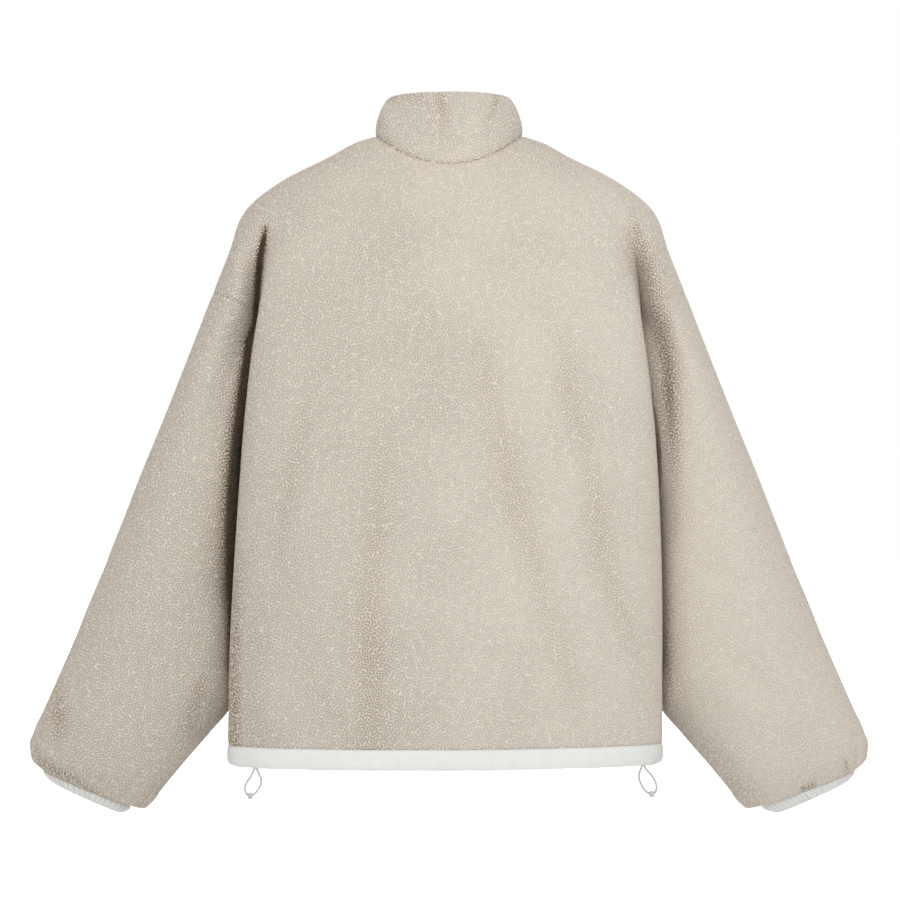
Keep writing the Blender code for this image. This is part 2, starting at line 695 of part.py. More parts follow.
def give_material(piece, colour):
    material = bpy.data.materials.new(piece.name)
    material.use_nodes = True
    shader = material.node_tree.nodes["Principled BSDF"]
    shader.inputs["Base Color"].default_value = COLOURS[colour]
    shader.inputs["Roughness"].default_value = 0.3 if colour == "metal" else 0.9
    shader.inputs["Metallic"].default_value = 1.0 if colour == "metal" else 0.0
    piece.data.materials.append(material)


def make_zip(front, hem, collar):
    line, out = centre_front(front, hem, collar)
    length = float(np.linalg.norm(np.diff(line, axis=0), axis=1).sum())
    slider_at = length - SLIDER_BELOW_TOP
    chain_top = slider_at - 2.0
    stop_low = slider_at + SLIDER_HALF_LENGTH + SEAM_GAP
    box_high = ZIP_BOX_LENGTH
    above_box = between(line, out, box_high + SEAM_GAP, length - 2.0)
    for side, sign in (("left", 1), ("right", -1)):
        reach = (TAPE_REACH[0] * sign, TAPE_REACH[1] * sign)
        add_mesh("zip_tape_" + side, *strip(*above_box, reach, TAPE_DEPTH), "woven", False)
        stop = between(line, out, stop_low, stop_low + STOP_LENGTH)
        add_mesh("zip_stop_" + side, *strip(*stop, (0.3 * sign, 2.3 * sign), CHAIN_DEPTH), "metal", False)
    chain = between(line, out, box_high + SEAM_GAP, chain_top)
    half = CHAIN_HALF_WIDTH
    add_mesh("zip_chain", *strip(*chain, (-half, half), CHAIN_DEPTH), "metal", False)
    box = between(line, out, 0.6, box_high)
    add_mesh("zip_box", *strip(*box, (-5.2, 5.2), (-0.4, 3.2)), "metal", False)
    make_slider(line, out, slider_at)


def make_slider(line, out, slider_at):
    """The slider grips the top of the chain between two plates. Its pull tab hangs from a bridge."""
    place, way = (part[0] for part in between(line, out, slider_at, slider_at + 10))
    up = np.cross(way, (1.0, 0.0, 0.0)) * -1
    up *= np.sign(up[2])
    place = swayed([place])[0]

    def placed(points):
        points = np.asarray(points)
        return place + np.outer(points[:, 0], (1, 0, 0)) + np.outer(points[:, 1], way) + np.outer(
            points[:, 2], up
        )

    top_face = -CHAIN_DEPTH[0] + SEAM_GAP
    low_face = -CHAIN_DEPTH[1] - SEAM_GAP
    long, wide = SLIDER_HALF_LENGTH, SLIDER_HALF_WIDTH
    outlines = [
        rounded_outline(wide - 0.5, 0.5 - long, long - 0.5, 1.3, low_face - PLATE),
        rounded_outline(wide, -long, long, 1.6, low_face - 0.4 * PLATE),
        rounded_outline(wide, -long, long, 1.6, low_face),
        rounded_outline(1.9, 0.0, long - 0.6, 0.6, low_face),
        rounded_outline(1.9, 0.0, long - 0.6, 0.6, top_face),
        rounded_outline(wide, -long, long, 1.6, top_face),
        rounded_outline(wide, -long, long, 1.6, top_face + 0.6 * PLATE),
        rounded_outline(wide - 0.5, 0.5 - long, long - 0.5, 1.3, top_face + PLATE),
    ]
    points, faces = stacked(outlines)
    slider = add_mesh("zip_slider", placed(points), faces, "metal", False)
    plate_out = top_face + PLATE
    axis_out = plate_out + PULL_AXIS_OUT
    high, reach, half = axis_out + 1.3, BRIDGE_REACH, BRIDGE_HALF_WIDTH
    side_view = [
        (plate_out - 0.5, -reach), (high, -reach), (high + 1.0, 0.8 - reach), (high + 1.0, reach - 0.8),
        (high, reach), (plate_out - 0.5, reach), (plate_out - 0.5, reach - 0.9), (high - 0.2, reach - 0.9),
        (high, reach - 1.2), (high, 1.2 - reach), (high - 0.2, 0.9 - reach), (plate_out - 0.5, 0.9 - reach),
    ]
    sides = [np.array([(x, y, z) for y, z in side_view]) for x in (half, -half)]
    points, faces = arch(sides)
    bridge = add_mesh("slider_bridge", placed(points), faces, "metal", False)
    bridge.hide_render = True
    bridge.display_type = "WIRE"
    joined = slider.modifiers.new("bridge", "BOOLEAN")
    joined.operation = "UNION"
    joined.solver = "EXACT"
    joined.object = bridge
    hinge = placed([(0, axis_out, 0)])[0]
    make_pull(hinge)


def arch(sides):
    """A bridge from its side view: the outline runs out, over and back underneath."""
    left, right = sides
    count = len(left)
    points = np.vstack([left, right])
    order = list(range(count))
    faces = []
    for k in range(count // 2 - 1):
        a, b, c, d = order[k], order[k + 1], order[count - 2 - k], order[count - 1 - k]
        faces.append([a, b, c, d])
        faces.append([d + count, c + count, b + count, a + count])
    for k in range(count):
        a, b = k, (k + 1) % count
        faces.append([b, a, a + count, b + count])
    return points, faces


def make_pull(hinge):
    """The pull tab hangs straight down from its crossbar, so its origin is on the hinge."""
    half = PULL_THICKNESS / 2
    outline = [
        (2.7, 0.2), (2.2, 0.9), (0, 0.9), (-2.2, 0.9), (-2.7, 0.2), (-2.7, -6.5), (-3.1, -12),
        (-3.1, 3 - PULL_LENGTH), (-1.8, 1 - PULL_LENGTH), (0, 1 - PULL_LENGTH), (1.8, 1 - PULL_LENGTH),
        (3.1, 3 - PULL_LENGTH), (3.1, -12), (2.7, -6.5),
    ]
    eye = [
        (1.4, -0.75), (0.9, -0.75), (0, -0.75), (-0.9, -0.75), (-1.4, -0.75), (-1.4, -4.5), (-1.4, -6.0),
        (-1.4, -6.8), (-0.9, -6.8), (0, -6.8), (0.9, -6.8), (1.4, -6.8), (1.4, -6.0), (1.4, -4.5),
    ]
    rings = [
        np.array([(x, y, z) for x, z in shape])
        for shape, y in ((outline, -half), (outline, half), (eye, half), (eye, -half))
    ]
    points, faces = ringed(rings)
    pull = add_mesh("zip_pull", points, faces, "metal", False)
    pull.location = [float(v) * MM for v in hinge]


def hem_exit(side, hem):
    """Where a loop leaves the hem band: just under its lower edge, in the middle of the wall."""
    x = LOOP_X[side]
    behind = hem[-1, : BACK_STEPS + 1]
    y = float(np.interp(abs(x), behind[:, 0], behind[:, 1])) - 1.0
    z = float(behind[0, 2]) - 0.3 - SEAM_GAP
    return swayed([(x, y, z)])[0]


def smooth_path(points, per_step):
    """A smooth curve through the points, in even steps."""
    points = np.array(points, float)
    ends = np.vstack([2 * points[0] - points[1], points, 2 * points[-1] - points[-2]])
    curve = []
    for k in range(len(points) - 1):
        a, b, c, d = ends[k : k + 4]
        for t in np.linspace(0, 1, per_step, endpoint=False):
            curve.append(
                0.5 * (2 * b + (c - a) * t + (2 * a - 5 * b + 4 * c - d) * t**2 + (3 * b - a - 3 * c + d) * t**3)
            )
    return np.array(curve + [points[-1]])


def make_loop(side, hem):
    start = hem_exit(side, hem)
    path = [start + np.array([across, 0.0, -down]) for across, down in LOOP_PATHS[side]]
    path = evenly(smooth_path(path, 8), CORD_STEPS)
    curve = bpy.data.curves.new("drawcord_" + side, "CURVE")
    curve.dimensions = "3D"
    curve.bevel_depth = CORD_DIAMETER / 2 * MM
    curve.bevel_resolution = 2
    curve.use_fill_caps = True
    spline = curve.splines.new("POLY")
    spline.points.add(len(path) - 1)
    for point, place in zip(spline.points, path):
        point.co = (*(float(v) * MM for v in place), 1.0)
    cord = bpy.data.objects.new("drawcord_" + side, curve)
    bpy.context.scene.collection.objects.link(cord)
    give_material(cord, "cord")
    lowest = int(np.argmin(path[:, 2]))
    way = path[lowest + 1] - path[lowest - 1]
    make_clip(side, path[lowest], way / np.linalg.norm(way))


def make_clip(side, place, way):
    """A small tube closed round the bottom of the loop."""
    beside = np.cross(way, (0.0, 1.0, 0.0))
    turn = 2 * math.pi * np.arange(12) / 12
    circle = np.outer(np.cos(turn), beside) + np.outer(np.sin(turn), (0.0, 1.0, 0.0))
    thin, wide = CLIP_RADII
    half = CLIP_LENGTH / 2
    rings = [
        place + circle * radius + way * along_cord
        for radius, along_cord in ((wide, -half), (wide, half), (thin, half), (thin, -half))
    ]
    add_mesh("cord_clip_" + side, *ringed(rings), "woven")


def main():
    for piece in list(bpy.data.objects):
        bpy.data.objects.remove(piece)
    skin, front, hem, collar = garment_skin()
    for piece in skin.cells:
        colour = "woven" if piece.startswith(("hem", "cuff")) else "fleece"
        add_mesh(piece, *skin.walled(piece), colour)
    make_zip(front, hem, collar)
    for side in ("left", "right"):
        make_loop(side, hem)


main()
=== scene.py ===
"""Fleece jacket seen from behind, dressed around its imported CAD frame: brushed fleece with soft
hanging folds, a smooth woven hem band, elastic cuffs with fine gathers, a zip with real teeth, and
two loops of elastic cord. The cloth pieces repeat the rings of the CAD source in far finer steps,
so each thin shell lies on its own solid. Lengths in the tables are millimetres."""

import functools
import math
from collections import namedtuple

import bpy
import numpy as np
from bpy.props import FloatProperty, FloatVectorProperty, PointerProperty
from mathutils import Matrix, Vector, kdtree


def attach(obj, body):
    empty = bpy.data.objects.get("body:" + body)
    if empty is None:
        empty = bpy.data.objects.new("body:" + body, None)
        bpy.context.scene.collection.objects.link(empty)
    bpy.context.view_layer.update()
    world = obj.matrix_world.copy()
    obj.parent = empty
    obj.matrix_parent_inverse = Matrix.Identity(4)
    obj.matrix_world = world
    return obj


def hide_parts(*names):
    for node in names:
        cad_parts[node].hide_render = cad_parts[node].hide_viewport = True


bl_info = {
    "name": "Fleece jacket",
    "version": (1, 0, 0),
    "blender": (4, 5, 0),
    "location": "3D View > Sidebar > Jacket",
    "description": "Makes the cloth, zip and cords of a fleece jacket in its worn shape",
    "category": "Object",
}

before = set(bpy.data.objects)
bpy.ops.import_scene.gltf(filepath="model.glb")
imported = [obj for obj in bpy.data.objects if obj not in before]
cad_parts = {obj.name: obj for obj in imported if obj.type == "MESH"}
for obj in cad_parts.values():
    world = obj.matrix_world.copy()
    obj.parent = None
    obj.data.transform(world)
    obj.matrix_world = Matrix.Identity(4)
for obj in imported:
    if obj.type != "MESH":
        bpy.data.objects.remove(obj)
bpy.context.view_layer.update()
PANEL_PLACE = "Jacket"

MM = 0.001
SEAM_GAP = 0.3
STITCHED_GAP = 0.12
FLEECE_WALL = 2.5
ZIP_HALF_OPENING = 6.5

# How finely the rings are cut: steps from the centre to the side, over the arm, and between rings.
# The rings of the armhole lie closer together towards the underarm.
BACK_STEPS = 100
FRONT_STEPS = 80
ARM_STEPS = 49
SKIRT_ROWS = 90
ARMHOLE_ROWS = 49
ARMHOLE_CROWDING = 1.4
SHOULDER_ROWS = 54
SLEEVE_ROWS_PER_CUT = 9
FINE = 400
ZIP_STEPS = 200

# Half a ring of the back. at: 0 hem, 1 underarm, 2 top of the armhole, 3 neck seam. z_centre and
# y_centre are on the centre line. half_width and y_edge are where the back turns forward, and
# x_seam is how far out the side seam, or the bottom of the fold between body and arm, lies.
Ring = namedtuple("Ring", "at z_centre y_centre z_side half_width y_edge x_seam roundness")
BACK_RINGS = (
    Ring(0.00, -634.5, 134, -634.5, 226.0, 42, 221, 2.3),
    Ring(0.25, -570, 136, -570, 225.0, 45, 219, 2.3),
    Ring(0.50, -490, 137, -490, 223.5, 49, 216, 2.3),
    Ring(0.75, -410, 136, -410, 220.0, 54, 212, 2.4),
    Ring(1.00, -330, 133, -330, 215.0, 60, 206, 2.5),
    Ring(1.33, -280, 130, -281, 210.5, 64, 203, 2.5),
    Ring(1.67, -229, 126, -232, 204.5, 67, 201, 2.5),
    Ring(2.00, -178, 119, -182, 197.0, 68, 200, 2.5),
    Ring(2.20, -147, 114, -140, 192.0, 66, 196, 2.5),
    Ring(2.40, -117, 108, -100, 186.0, 60, 191, 2.5),
    Ring(2.60, -88, 100, -70, 165.0, 50, 170, 2.4),
    Ring(2.80, -60, 88, -45, 120.0, 40, 125, 2.2),
    Ring(3.00, -32, 72, -20, 70.0, 30, 72, 2.1),
)
FRONT_RINGS = (
    Ring(0.00, -634.5, -130, -634.5, 219.0, -24, 221, 2.3),
    Ring(0.25, -570, -133, -570, 217.0, -25, 219, 2.3),
    Ring(0.50, -490, -134, -490, 214.0, -28, 216, 2.3),
    Ring(0.75, -410, -131, -410, 210.0, -32, 212, 2.3),
    Ring(1.00, -333, -124, -330, 204.0, -42, 206, 2.3),
    Ring(1.33, -284, -118, -281, 200.0, -64, 203, 2.4),
    Ring(1.67, -236, -112, -232, 196.0, -74, 201, 2.4),
    Ring(2.00, -188, -104, -182, 191.0, -78, 200, 2.4),
    Ring(2.20, -166, -99, -140, 187.0, -76, 196, 2.4),
    Ring(2.40, -145, -92, -100, 182.0, -70, 191, 2.4),
    Ring(2.60, -124, -84, -70, 160.0, -58, 170, 2.3),
    Ring(2.80, -103, -74, -45, 116.0, -44, 125, 2.2),
    Ring(3.00, -82, -62, -20, 68.0, -30, 72, 2.1),
)
# How far back the side seam lies at the hem and at the underarm, the armhole seam half-way up, and
# how much further it has gone where the fold ends.
HEM_SIDE_Y = -8
UNDERARM_Y = -14
FOLD_BOTTOM_Y = {"back": 26, "front": -58}
FOLD_END_SHIFT = {"back": 16, "front": -6}
FOLD_END_REACH = 0.4
# Where the arm's bulge is highest, as a share of the way out from the fold to the shoulder line.
ARM_CREST = 0.48

# The shoulder line from the top of the armhole to the neck, the arm's bulge behind and in front of
# it, and how deep the fold between body and arm is: 1 is whole and 0 is none.
Shoulder = namedtuple("Shoulder", "at x y z arm_back arm_front fold")
SHOULDER_LINE = (
    Shoulder(2.00, 248, -16, -163, 60, -94, 1.00),
    Shoulder(2.20, 231, -13, -121, 58, -88, 0.80),
    Shoulder(2.40, 215, -10, -79, 50, -76, 0.15),
    Shoulder(2.60, 177, -6, -47.5, 40, -60, 0.00),
    Shoulder(2.80, 124, 0, -20.5, 30, -40, 0.00),
    Shoulder(2.90, 100, 3, -7.5, 25, -30, 0.00),
    Shoulder(3.00, 77, 5, 0, 20, -20, 0.00),
)

# Rings down the left sleeve, from the armhole to the cuff: the outermost and innermost points of
# each, how far it reaches back and forward, and how square it is.
Slice = namedtuple("Slice", "at x_out z_out x_in z_in y_mid y_back y_front squareness")
SLEEVE_RINGS = (
    Slice(0.00, 248.0, -163, 206.0, -330, -16, 60, -92, 2.2),
    Slice(0.14, 276.0, -235, 209.5, -352, -18, 63, -98, 2.4),
    Slice(0.27, 304.0, -305, 213.5, -375, -20, 64, -104, 2.4),
    Slice(0.37, 323.5, -352, 217.5, -404, -22, 62, -107, 2.4),
    Slice(0.47, 342.5, -400, 222.5, -447, -24, 60, -109, 2.3),
    Slice(0.57, 362.5, -450, 226.0, -503, -26, 57, -109, 2.3),
    Slice(0.67, 381.5, -495, 228.0, -553, -27, 53, -108, 2.3),
    Slice(0.75, 394.5, -527, 227.5, -594, -28, 50, -106, 2.2),
    Slice(0.83, 412.0, -567, 253.5, -628, -28, 45, -102, 2.2),
    Slice(0.90, 427.5, -602, 282.0, -661, -28, 38, -96, 2.2),
    Slice(0.95, 438.5, -626, 303.5, -687, -28, 29, -86, 2.2),
    Slice(0.98, 442.5, -644, 315.0, -702, -28, 18, -75, 2.2),
    Slice(0.99, 440.0, -656, 322.0, -707, -28, 10, -67, 2.2),
    Slice(1.00, 428.5, -667, 336.5, -704, -28, 1, -58, 2.2),
)
SLEEVE_CUTS = (
    0, 0.04, 0.09, 0.15, 0.21, 0.28, 0.35, 0.42, 0.49, 0.56, 0.63, 0.70, 0.77, 0.83, 0.89, 0.935,
    0.965, 0.983, 0.992, 1,
)

# The cuff hangs below the end of the sleeve: down is the share of the way, bulge and wall are how
# far the band swells and how thick it is, and gather is the height of its gathers.
CUFF_DROP = {"x_out": -7.0, "z_out": -11.0, "x_in": 9.5, "z_in": -8.0}
CUFF_BACK, CUFF_FRONT = -5.0, -51.0
Band = namedtuple("Band", "down bulge wall gather")
CUFF_ROWS = (
    Band(0.00, 0.0, 2.5, 0.0),
    Band(0.30, 2.2, 3.0, 0.7),
    Band(0.65, 2.0, 3.2, 0.8),
    Band(0.90, 0.6, 3.0, 0.7),
    Band(1.00, -0.6, 1.6, 0.4),
)

# The hem band is a channel of woven cloth sewn to the bottom of the body.
HEM_HEIGHT = 21.5
HEM_ROWS = (
    Band(0.00, 0.0, 2.5, 0),
    Band(0.18, 0.5, 4.2, 0),
    Band(0.50, 0.7, 4.8, 0),
    Band(0.84, 0.2, 4.0, 0),
    Band(1.00, -1.0, 1.6, 0),
)

# The collar is two layers of fleece. Its top edge is an oval, higher behind than in front, and the
# neck seam below it is a wider one.
NECK_SEAM = {"half_width": 77.0, "y_middle": 4.0, "back": 68.0, "front": 66.0}
COLLAR_TOP = {"half_width": 65.5, "y_back": 57, "y_middle": -3, "y_front": -65}
COLLAR_TOP_Z = {"back": 43.5, "side": 41.0, "front": -10.0}
COLLAR_ROWS = (
    Band(0.00, 0.0, 2.5, 0),
    Band(0.14, 1.6, 5.0, 0),
    Band(0.52, 2.9, 5.5, 0),
    Band(0.86, 0.5, 5.5, 0),
    Band(0.96, -1.5, 4.4, 0),
    Band(1.00, -3.4, 1.8, 0),
)

# How far the sleeve stays from the body's side, at places down the sleeve. The right one is fuller
# between the two places in FULLER and below them, and its cuff is drawn in more. The shape of the
# armhole has faded out of both at ARMHOLE_FADE.
SLEEVE_CLEARANCE = ((0.0, 0.0), (0.04, 6.0), (0.10, 7.0), (0.20, 6.0), (0.40, 3.5), (0.70, 2.0))
RIGHT_SLEEVE_FULLER = 7.5
RIGHT_CUFF_DRAWN_IN = 8.0
FULLER = (0.3, 0.6)
ARMHOLE_FADE = 0.3

# The body hangs SWAY towards the wearer's left at the hem, and rises HEM_LIFT towards the right side.
# The lower edge of the hem band turns up at the sides: how far, and between which places across.
SWAY = 4.0
HEM_LIFT = 2.0
HEM_LIFT_WIDTH = 200
HEM_CORNER = 2.2
HEM_CORNER_X = (213, 227)

# The zip lies in the slit between the two fronts. Each depth is measured in from the outer skin.
TAPE_REACH = (2.6, 5.9)
TAPE_DEPTH = (0.9, 1.9)
TAPE_BELOW_TOP = 2.0
CHAIN_DEPTH = (0.2, 2.6)
SLIDER_BELOW_TOP = 14.0
ZIP_BOX_LENGTH = 10.0

# The two loops of elastic cord that come out under the hem: where each one leaves the hem, and its
# path from there as steps towards the wearer's left and down.
CORD_DIAMETER = 2.4
CLIP_LENGTH = 4.6
CLIP_RADII = (2.15, 3.1)
LOOP_X = {"left": 195.0, "right": -204.0}
LOOP_PATHS = {
    "left": (
        (1.35, 0), (2.6, 3.6), (5.4, 8.6), (8.6, 13.4), (10.6, 18.5), (10.2, 24), (6.8, 27.8),
        (2.0, 26.6), (-2.8, 21), (-5.6, 15.5), (-5.4, 9.5), (-2.8, 4), (-1.35, 0),
    ),
    "right": (
        (1.35, 0), (2.8, 3.6), (4.3, 8.4), (4.0, 13.4), (1.4, 19.6), (-2.6, 25.2), (-7.6, 28.4),
        (-12.0, 27.0), (-13.8, 21.0), (-11.6, 14), (-7.6, 8), (-3.4, 3.4), (-1.35, 0),
    ),
}


# The form of the cloth ---------------------------------------------------------------------------


def unit(vectors):
    """The same direction at length 1. Nothing stays nothing."""
    length = np.linalg.norm(vectors, axis=-1, keepdims=True)
    return vectors / np.maximum(length, 1e-12)


def column(table, name):
    return np.array([getattr(row, name) for row in table], float)


def along(table, name, at):
    """A column of a table as a smooth curve through its rows, read at one place or at many."""
    return through(column(table, "at"), column(table, name), at)


def row_at(table, at):
    """A row of a table between its own rows."""
    kind = type(table[0])
    return kind(at, *(float(along(table, name, at)) for name in kind._fields[1:]))


def through(knots, values, at):
    """A smooth curve through values at knots, read at one place or at many."""
    slopes = np.gradient(values, knots)
    at = np.clip(np.asarray(at, float), knots[0], knots[-1])
    i = np.clip(np.searchsorted(knots, at, side="right") - 1, 0, len(knots) - 2)
    width = knots[i + 1] - knots[i]
    t = (at - knots[i]) / width
    return (
        values[i] * (1 + 2 * t) * (1 - t) ** 2
        + slopes[i] * width * t * (1 - t) ** 2
        + values[i + 1] * t * t * (3 - 2 * t)
        + slopes[i + 1] * width * t * t * (t - 1)
    )


def all_round(count):
    """Even turns, once round."""
    return 2 * math.pi * np.arange(count) / count


def step_lengths(line):
    return np.linalg.norm(np.diff(line, axis=0), axis=1)


def lengths_along(line):
    """How far along a line each of its points lies."""
    return np.concatenate([[0.0], np.cumsum(step_lengths(line))])


def interpolated(line, values, wanted):
    """Values along a line, read at lengths from its start."""
    reached = lengths_along(line)
    return np.stack([np.interp(wanted, reached, values[:, k]) for k in range(3)], axis=1)


def evenly(points, steps):
    """The same line, cut into equal steps."""
    wanted = np.linspace(0.0, lengths_along(points)[-1], steps + 1)
    return interpolated(points, points, wanted)


def ease(share):
    share = np.clip(share, 0.0, 1.0)
    return share * share * (3 - 2 * share)


def from_opening(points, face):
    """A front ring starts at the edge of the zip's slit instead of at the centre line."""
    if face == "back":
        return points
    first = int(np.argmax(points[:, 0] > ZIP_HALF_OPENING))
    before, after = points[first - 1], points[first]
    share = (ZIP_HALF_OPENING - before[0]) / (after[0] - before[0])
    return np.vstack([before + (after - before) * share, points[first:]])


def fold_bottom(face, at):
    """How far back or forward the armhole seam lies: a U that starts at the underarm."""
    rise = np.sin(0.5 * math.pi * np.clip(at - 1.0, 0.0, 1.0)) ** 0.5
    depth = UNDERARM_Y + (FOLD_BOTTOM_Y[face] - UNDERARM_Y) * rise
    above = np.clip((at - 2.0) / FOLD_END_REACH, 0.0, 1.0)
    return depth + above * FOLD_END_SHIFT[face]


def body_ring(face, at, steps, arm_steps):
    """Half a ring of the wearer's left side, from the centre line to the side seam or the bottom of
    the fold and, above the armhole, on over the arm to the shoulder line."""
    ring = row_at(BACK_RINGS if face == "back" else FRONT_RINGS, at)
    if at <= 1.0:
        y_seam = float(np.interp(at, [0, 1], [HEM_SIDE_Y, UNDERARM_Y]))
    else:
        y_seam = float(fold_bottom(face, at))
    torso = torso_line(face, ring, y_seam)
    if at < 2.0:
        return evenly(torso, steps)
    shoulder = row_at(SHOULDER_LINE, at)
    arm = arm_line(face, ring, shoulder, y_seam)
    creased = np.concatenate([evenly(torso, steps), evenly(arm, arm_steps)[1:]])
    plain = evenly(plain_line(face, ring, shoulder), steps + arm_steps)
    return plain + (creased - plain) * min(max(shoulder.fold, 0.0), 1.0)


def torso_line(face, ring, y_seam):
    """Across the body from the centre line and round its edge to the side seam."""
    turn = np.linspace(0.0, 0.5 * math.pi, FINE)
    power = 2 / ring.roundness
    x = ring.half_width * np.sin(turn) ** power
    y = ring.y_edge + (ring.y_centre - ring.y_edge) * np.cos(turn) ** power
    side = np.linspace(0.0, 1.0, FINE // 2)[1:]
    turned = ring.half_width + (ring.x_seam - ring.half_width) * 0.5 * (1 - np.cos(math.pi * side))
    x = np.concatenate([x, turned])
    y = np.concatenate([y, ring.y_edge + (y_seam - ring.y_edge) * side])
    z = ring.z_centre + (ring.z_side - ring.z_centre) * ease(np.linspace(0.0, 1.0, len(x)))
    return from_opening(np.stack([x, y, z], axis=1), face)


def arm_line(face, ring, shoulder, y_seam):
    """Up the arm from the bottom of the fold, and over it to the shoulder line."""
    y_arm = shoulder.arm_back if face == "back" else shoulder.arm_front
    x_arm = ring.x_seam + ARM_CREST * (shoulder.x - ring.x_seam)
    rise = np.linspace(0.0, 0.5 * math.pi, FINE)
    x_up = ring.x_seam + (x_arm - ring.x_seam) * rise / (0.5 * math.pi)
    y_up = y_seam + (y_arm - y_seam) * np.sin(rise)
    x_over = x_arm + (shoulder.x - x_arm) * np.sin(rise)
    y_over = shoulder.y + (y_arm - shoulder.y) * np.cos(rise)
    x, y = np.append(x_up, x_over[1:]), np.append(y_up, y_over[1:])
    z = ring.z_side + (shoulder.z - ring.z_side) * ease(np.linspace(0.0, 1.0, len(x)))
    return np.column_stack([x, y, z])


def plain_line(face, ring, shoulder):
    """From the centre line to the shoulder line in one sweep, as where no fold parts the two."""
    turn = np.linspace(0.0, 0.5 * math.pi, FINE)
    power = 2 / ring.roundness
    x = shoulder.x * np.sin(turn) ** power
    y = shoulder.y + (ring.y_centre - shoulder.y) * np.cos(turn) ** power
    z = ring.z_centre + (shoulder.z - ring.z_centre) * np.sin(turn) ** 2
    return from_opening(np.stack([x, y, z], axis=1), face)


def body_rows():
    """Where the rings of the body are cut: from the hem to the underarm, on to the top of the
    armhole, and on to the neck."""
    skirt = np.linspace(0.0, 1.0, SKIRT_ROWS + 1)
    armhole = 1.0 + np.linspace(0.0, 1.0, ARMHOLE_ROWS + 1)[1:] ** ARMHOLE_CROWDING
    shoulder = np.linspace(2.0, 3.0, SHOULDER_ROWS + 1)[1:]
    return np.concatenate([skirt, armhole, shoulder])


def body_half(face):
    """The left half of the back or front as a grid. Cells past the fold exist only above the
    armhole, and the points of the others are left as NaN."""
    steps = BACK_STEPS if face == "back" else FRONT_STEPS
    grid = np.full((len(body_rows()), steps + ARM_STEPS + 1, 3), np.nan)
    for row, at in enumerate(body_rows()):
        ring = body_ring(face, at, steps, ARM_STEPS)
        grid[row, : len(ring)] = ring
    return grid


def armhole_loop(back, front):
    """The armhole seam, from the shoulder line round behind the arm to the underarm, and back up in
    front of it."""
    top = SKIRT_ROWS + ARMHOLE_ROWS
    behind = [back[top, c] for c in range(BACK_STEPS + ARM_STEPS, BACK_STEPS, -1)]
    down = [back[r, BACK_STEPS] for r in range(top, SKIRT_ROWS, -1)]
    up = [front[r, FRONT_STEPS] for r in range(SKIRT_ROWS, top)]
    before = [front[top, c] for c in range(FRONT_STEPS, FRONT_STEPS + ARM_STEPS)]
    return np.array(behind + down + up + before)


def sleeve_grid(loop, side, back, front):
    """Rings down a sleeve, on the left. The first is the armhole seam, and the next ones turn into
    plain slanted rings. They stay clear of the body beside them."""
    turn = all_round(len(loop))
    rows = sleeve_cuts()
    grid = np.array([sleeve_ring(at, turn, side) for at in rows])
    fade = np.clip(1 - rows / ARMHOLE_FADE, 0.0, 1.0) ** 2
    grid = grid + (loop - grid[0])[None] * fade[:, None, None]
    sway = body_sway(grid[1:]) * (1 if side == "left" else -1)
    gap = np.interp(rows[1:], *zip(*SLEEVE_CLEARANCE))[:, None]
    grid[1:, :, 0] = np.maximum(grid[1:, :, 0], body_side(grid[1:], back, front) + sway + gap)
    return grid


def sleeve_cuts():
    """Where the rings of a sleeve are cut."""
    places = np.linspace(0, len(SLEEVE_CUTS) - 1, (len(SLEEVE_CUTS) - 1) * SLEEVE_ROWS_PER_CUT + 1)
    return np.interp(places, np.arange(len(SLEEVE_CUTS)), SLEEVE_CUTS)


def sleeve_ring(at, turn, side):
    size = row_at(SLEEVE_RINGS, at)
    if side == "right":
        start, end = FULLER
        fuller = RIGHT_SLEEVE_FULLER * float(ease((at - start) / (end - start)))
        size = size._replace(x_in=size.x_in - fuller)
    return slanted_oval(size, turn)


def body_side(points, back, front):
    """How far out the side of the body is, level with each point. Nothing is beside a point above
    the armhole or below the hem."""
    rows = range(SKIRT_ROWS + ARMHOLE_ROWS + 1)
    lines = [round_left(back[r, : BACK_STEPS + 1], front[r, : FRONT_STEPS + 1])[::-1] for r in rows]
    heights = [float(back[r, BACK_STEPS, 2]) for r in rows]
    flat = points.reshape(-1, 3)
    at_rows = np.array([np.interp(flat[:, 1], line[:, 1], line[:, 0]) for line in lines])
    found = [
        np.interp(z, heights, at_rows[:, k]) if heights[0] - HEM_HEIGHT < z < heights[-1] else 0.0
        for k, z in enumerate(flat[:, 2])
    ]
    return np.array(found).reshape(points.shape[:-1])


def slanted_oval(size, turn):
    """A ring of the sleeve or the cuff: a squared oval that slants down from its inner end."""
    power = 2 / size.squareness
    across = np.sign(np.cos(turn)) * np.abs(np.cos(turn)) ** power
    depth = np.sign(np.sin(turn)) * np.abs(np.sin(turn)) ** power
    share = (1 + across) / 2
    x = size.x_in + (size.x_out - size.x_in) * share
    z = size.z_in + (size.z_out - size.z_in) * share
    behind, before = size.y_back - size.y_mid, size.y_mid - size.y_front
    y = size.y_mid + np.where(depth > 0, behind, before) * depth
    return np.stack([x, y, z], axis=1)


def mirrored(grid):
    return grid * np.array([-1.0, 1.0, 1.0])


def body_sway(points):
    """How far the body hangs to one side: nothing at the underarm and SWAY at the hem."""
    underarm, hem = BACK_RINGS[4].z_side, BACK_RINGS[0].z_side
    return SWAY * ease((underarm - points[..., 2]) / (underarm - hem))


def swayed(points):
    """The body as it hangs: swayed to one side, and lifted a little at the bottom right."""
    points = np.array(points, float)
    sway = body_sway(points)
    points[..., 2] += HEM_LIFT * sway / SWAY * ease(-points[..., 0] / HEM_LIFT_WIDTH)
    points[..., 0] += sway
    return points


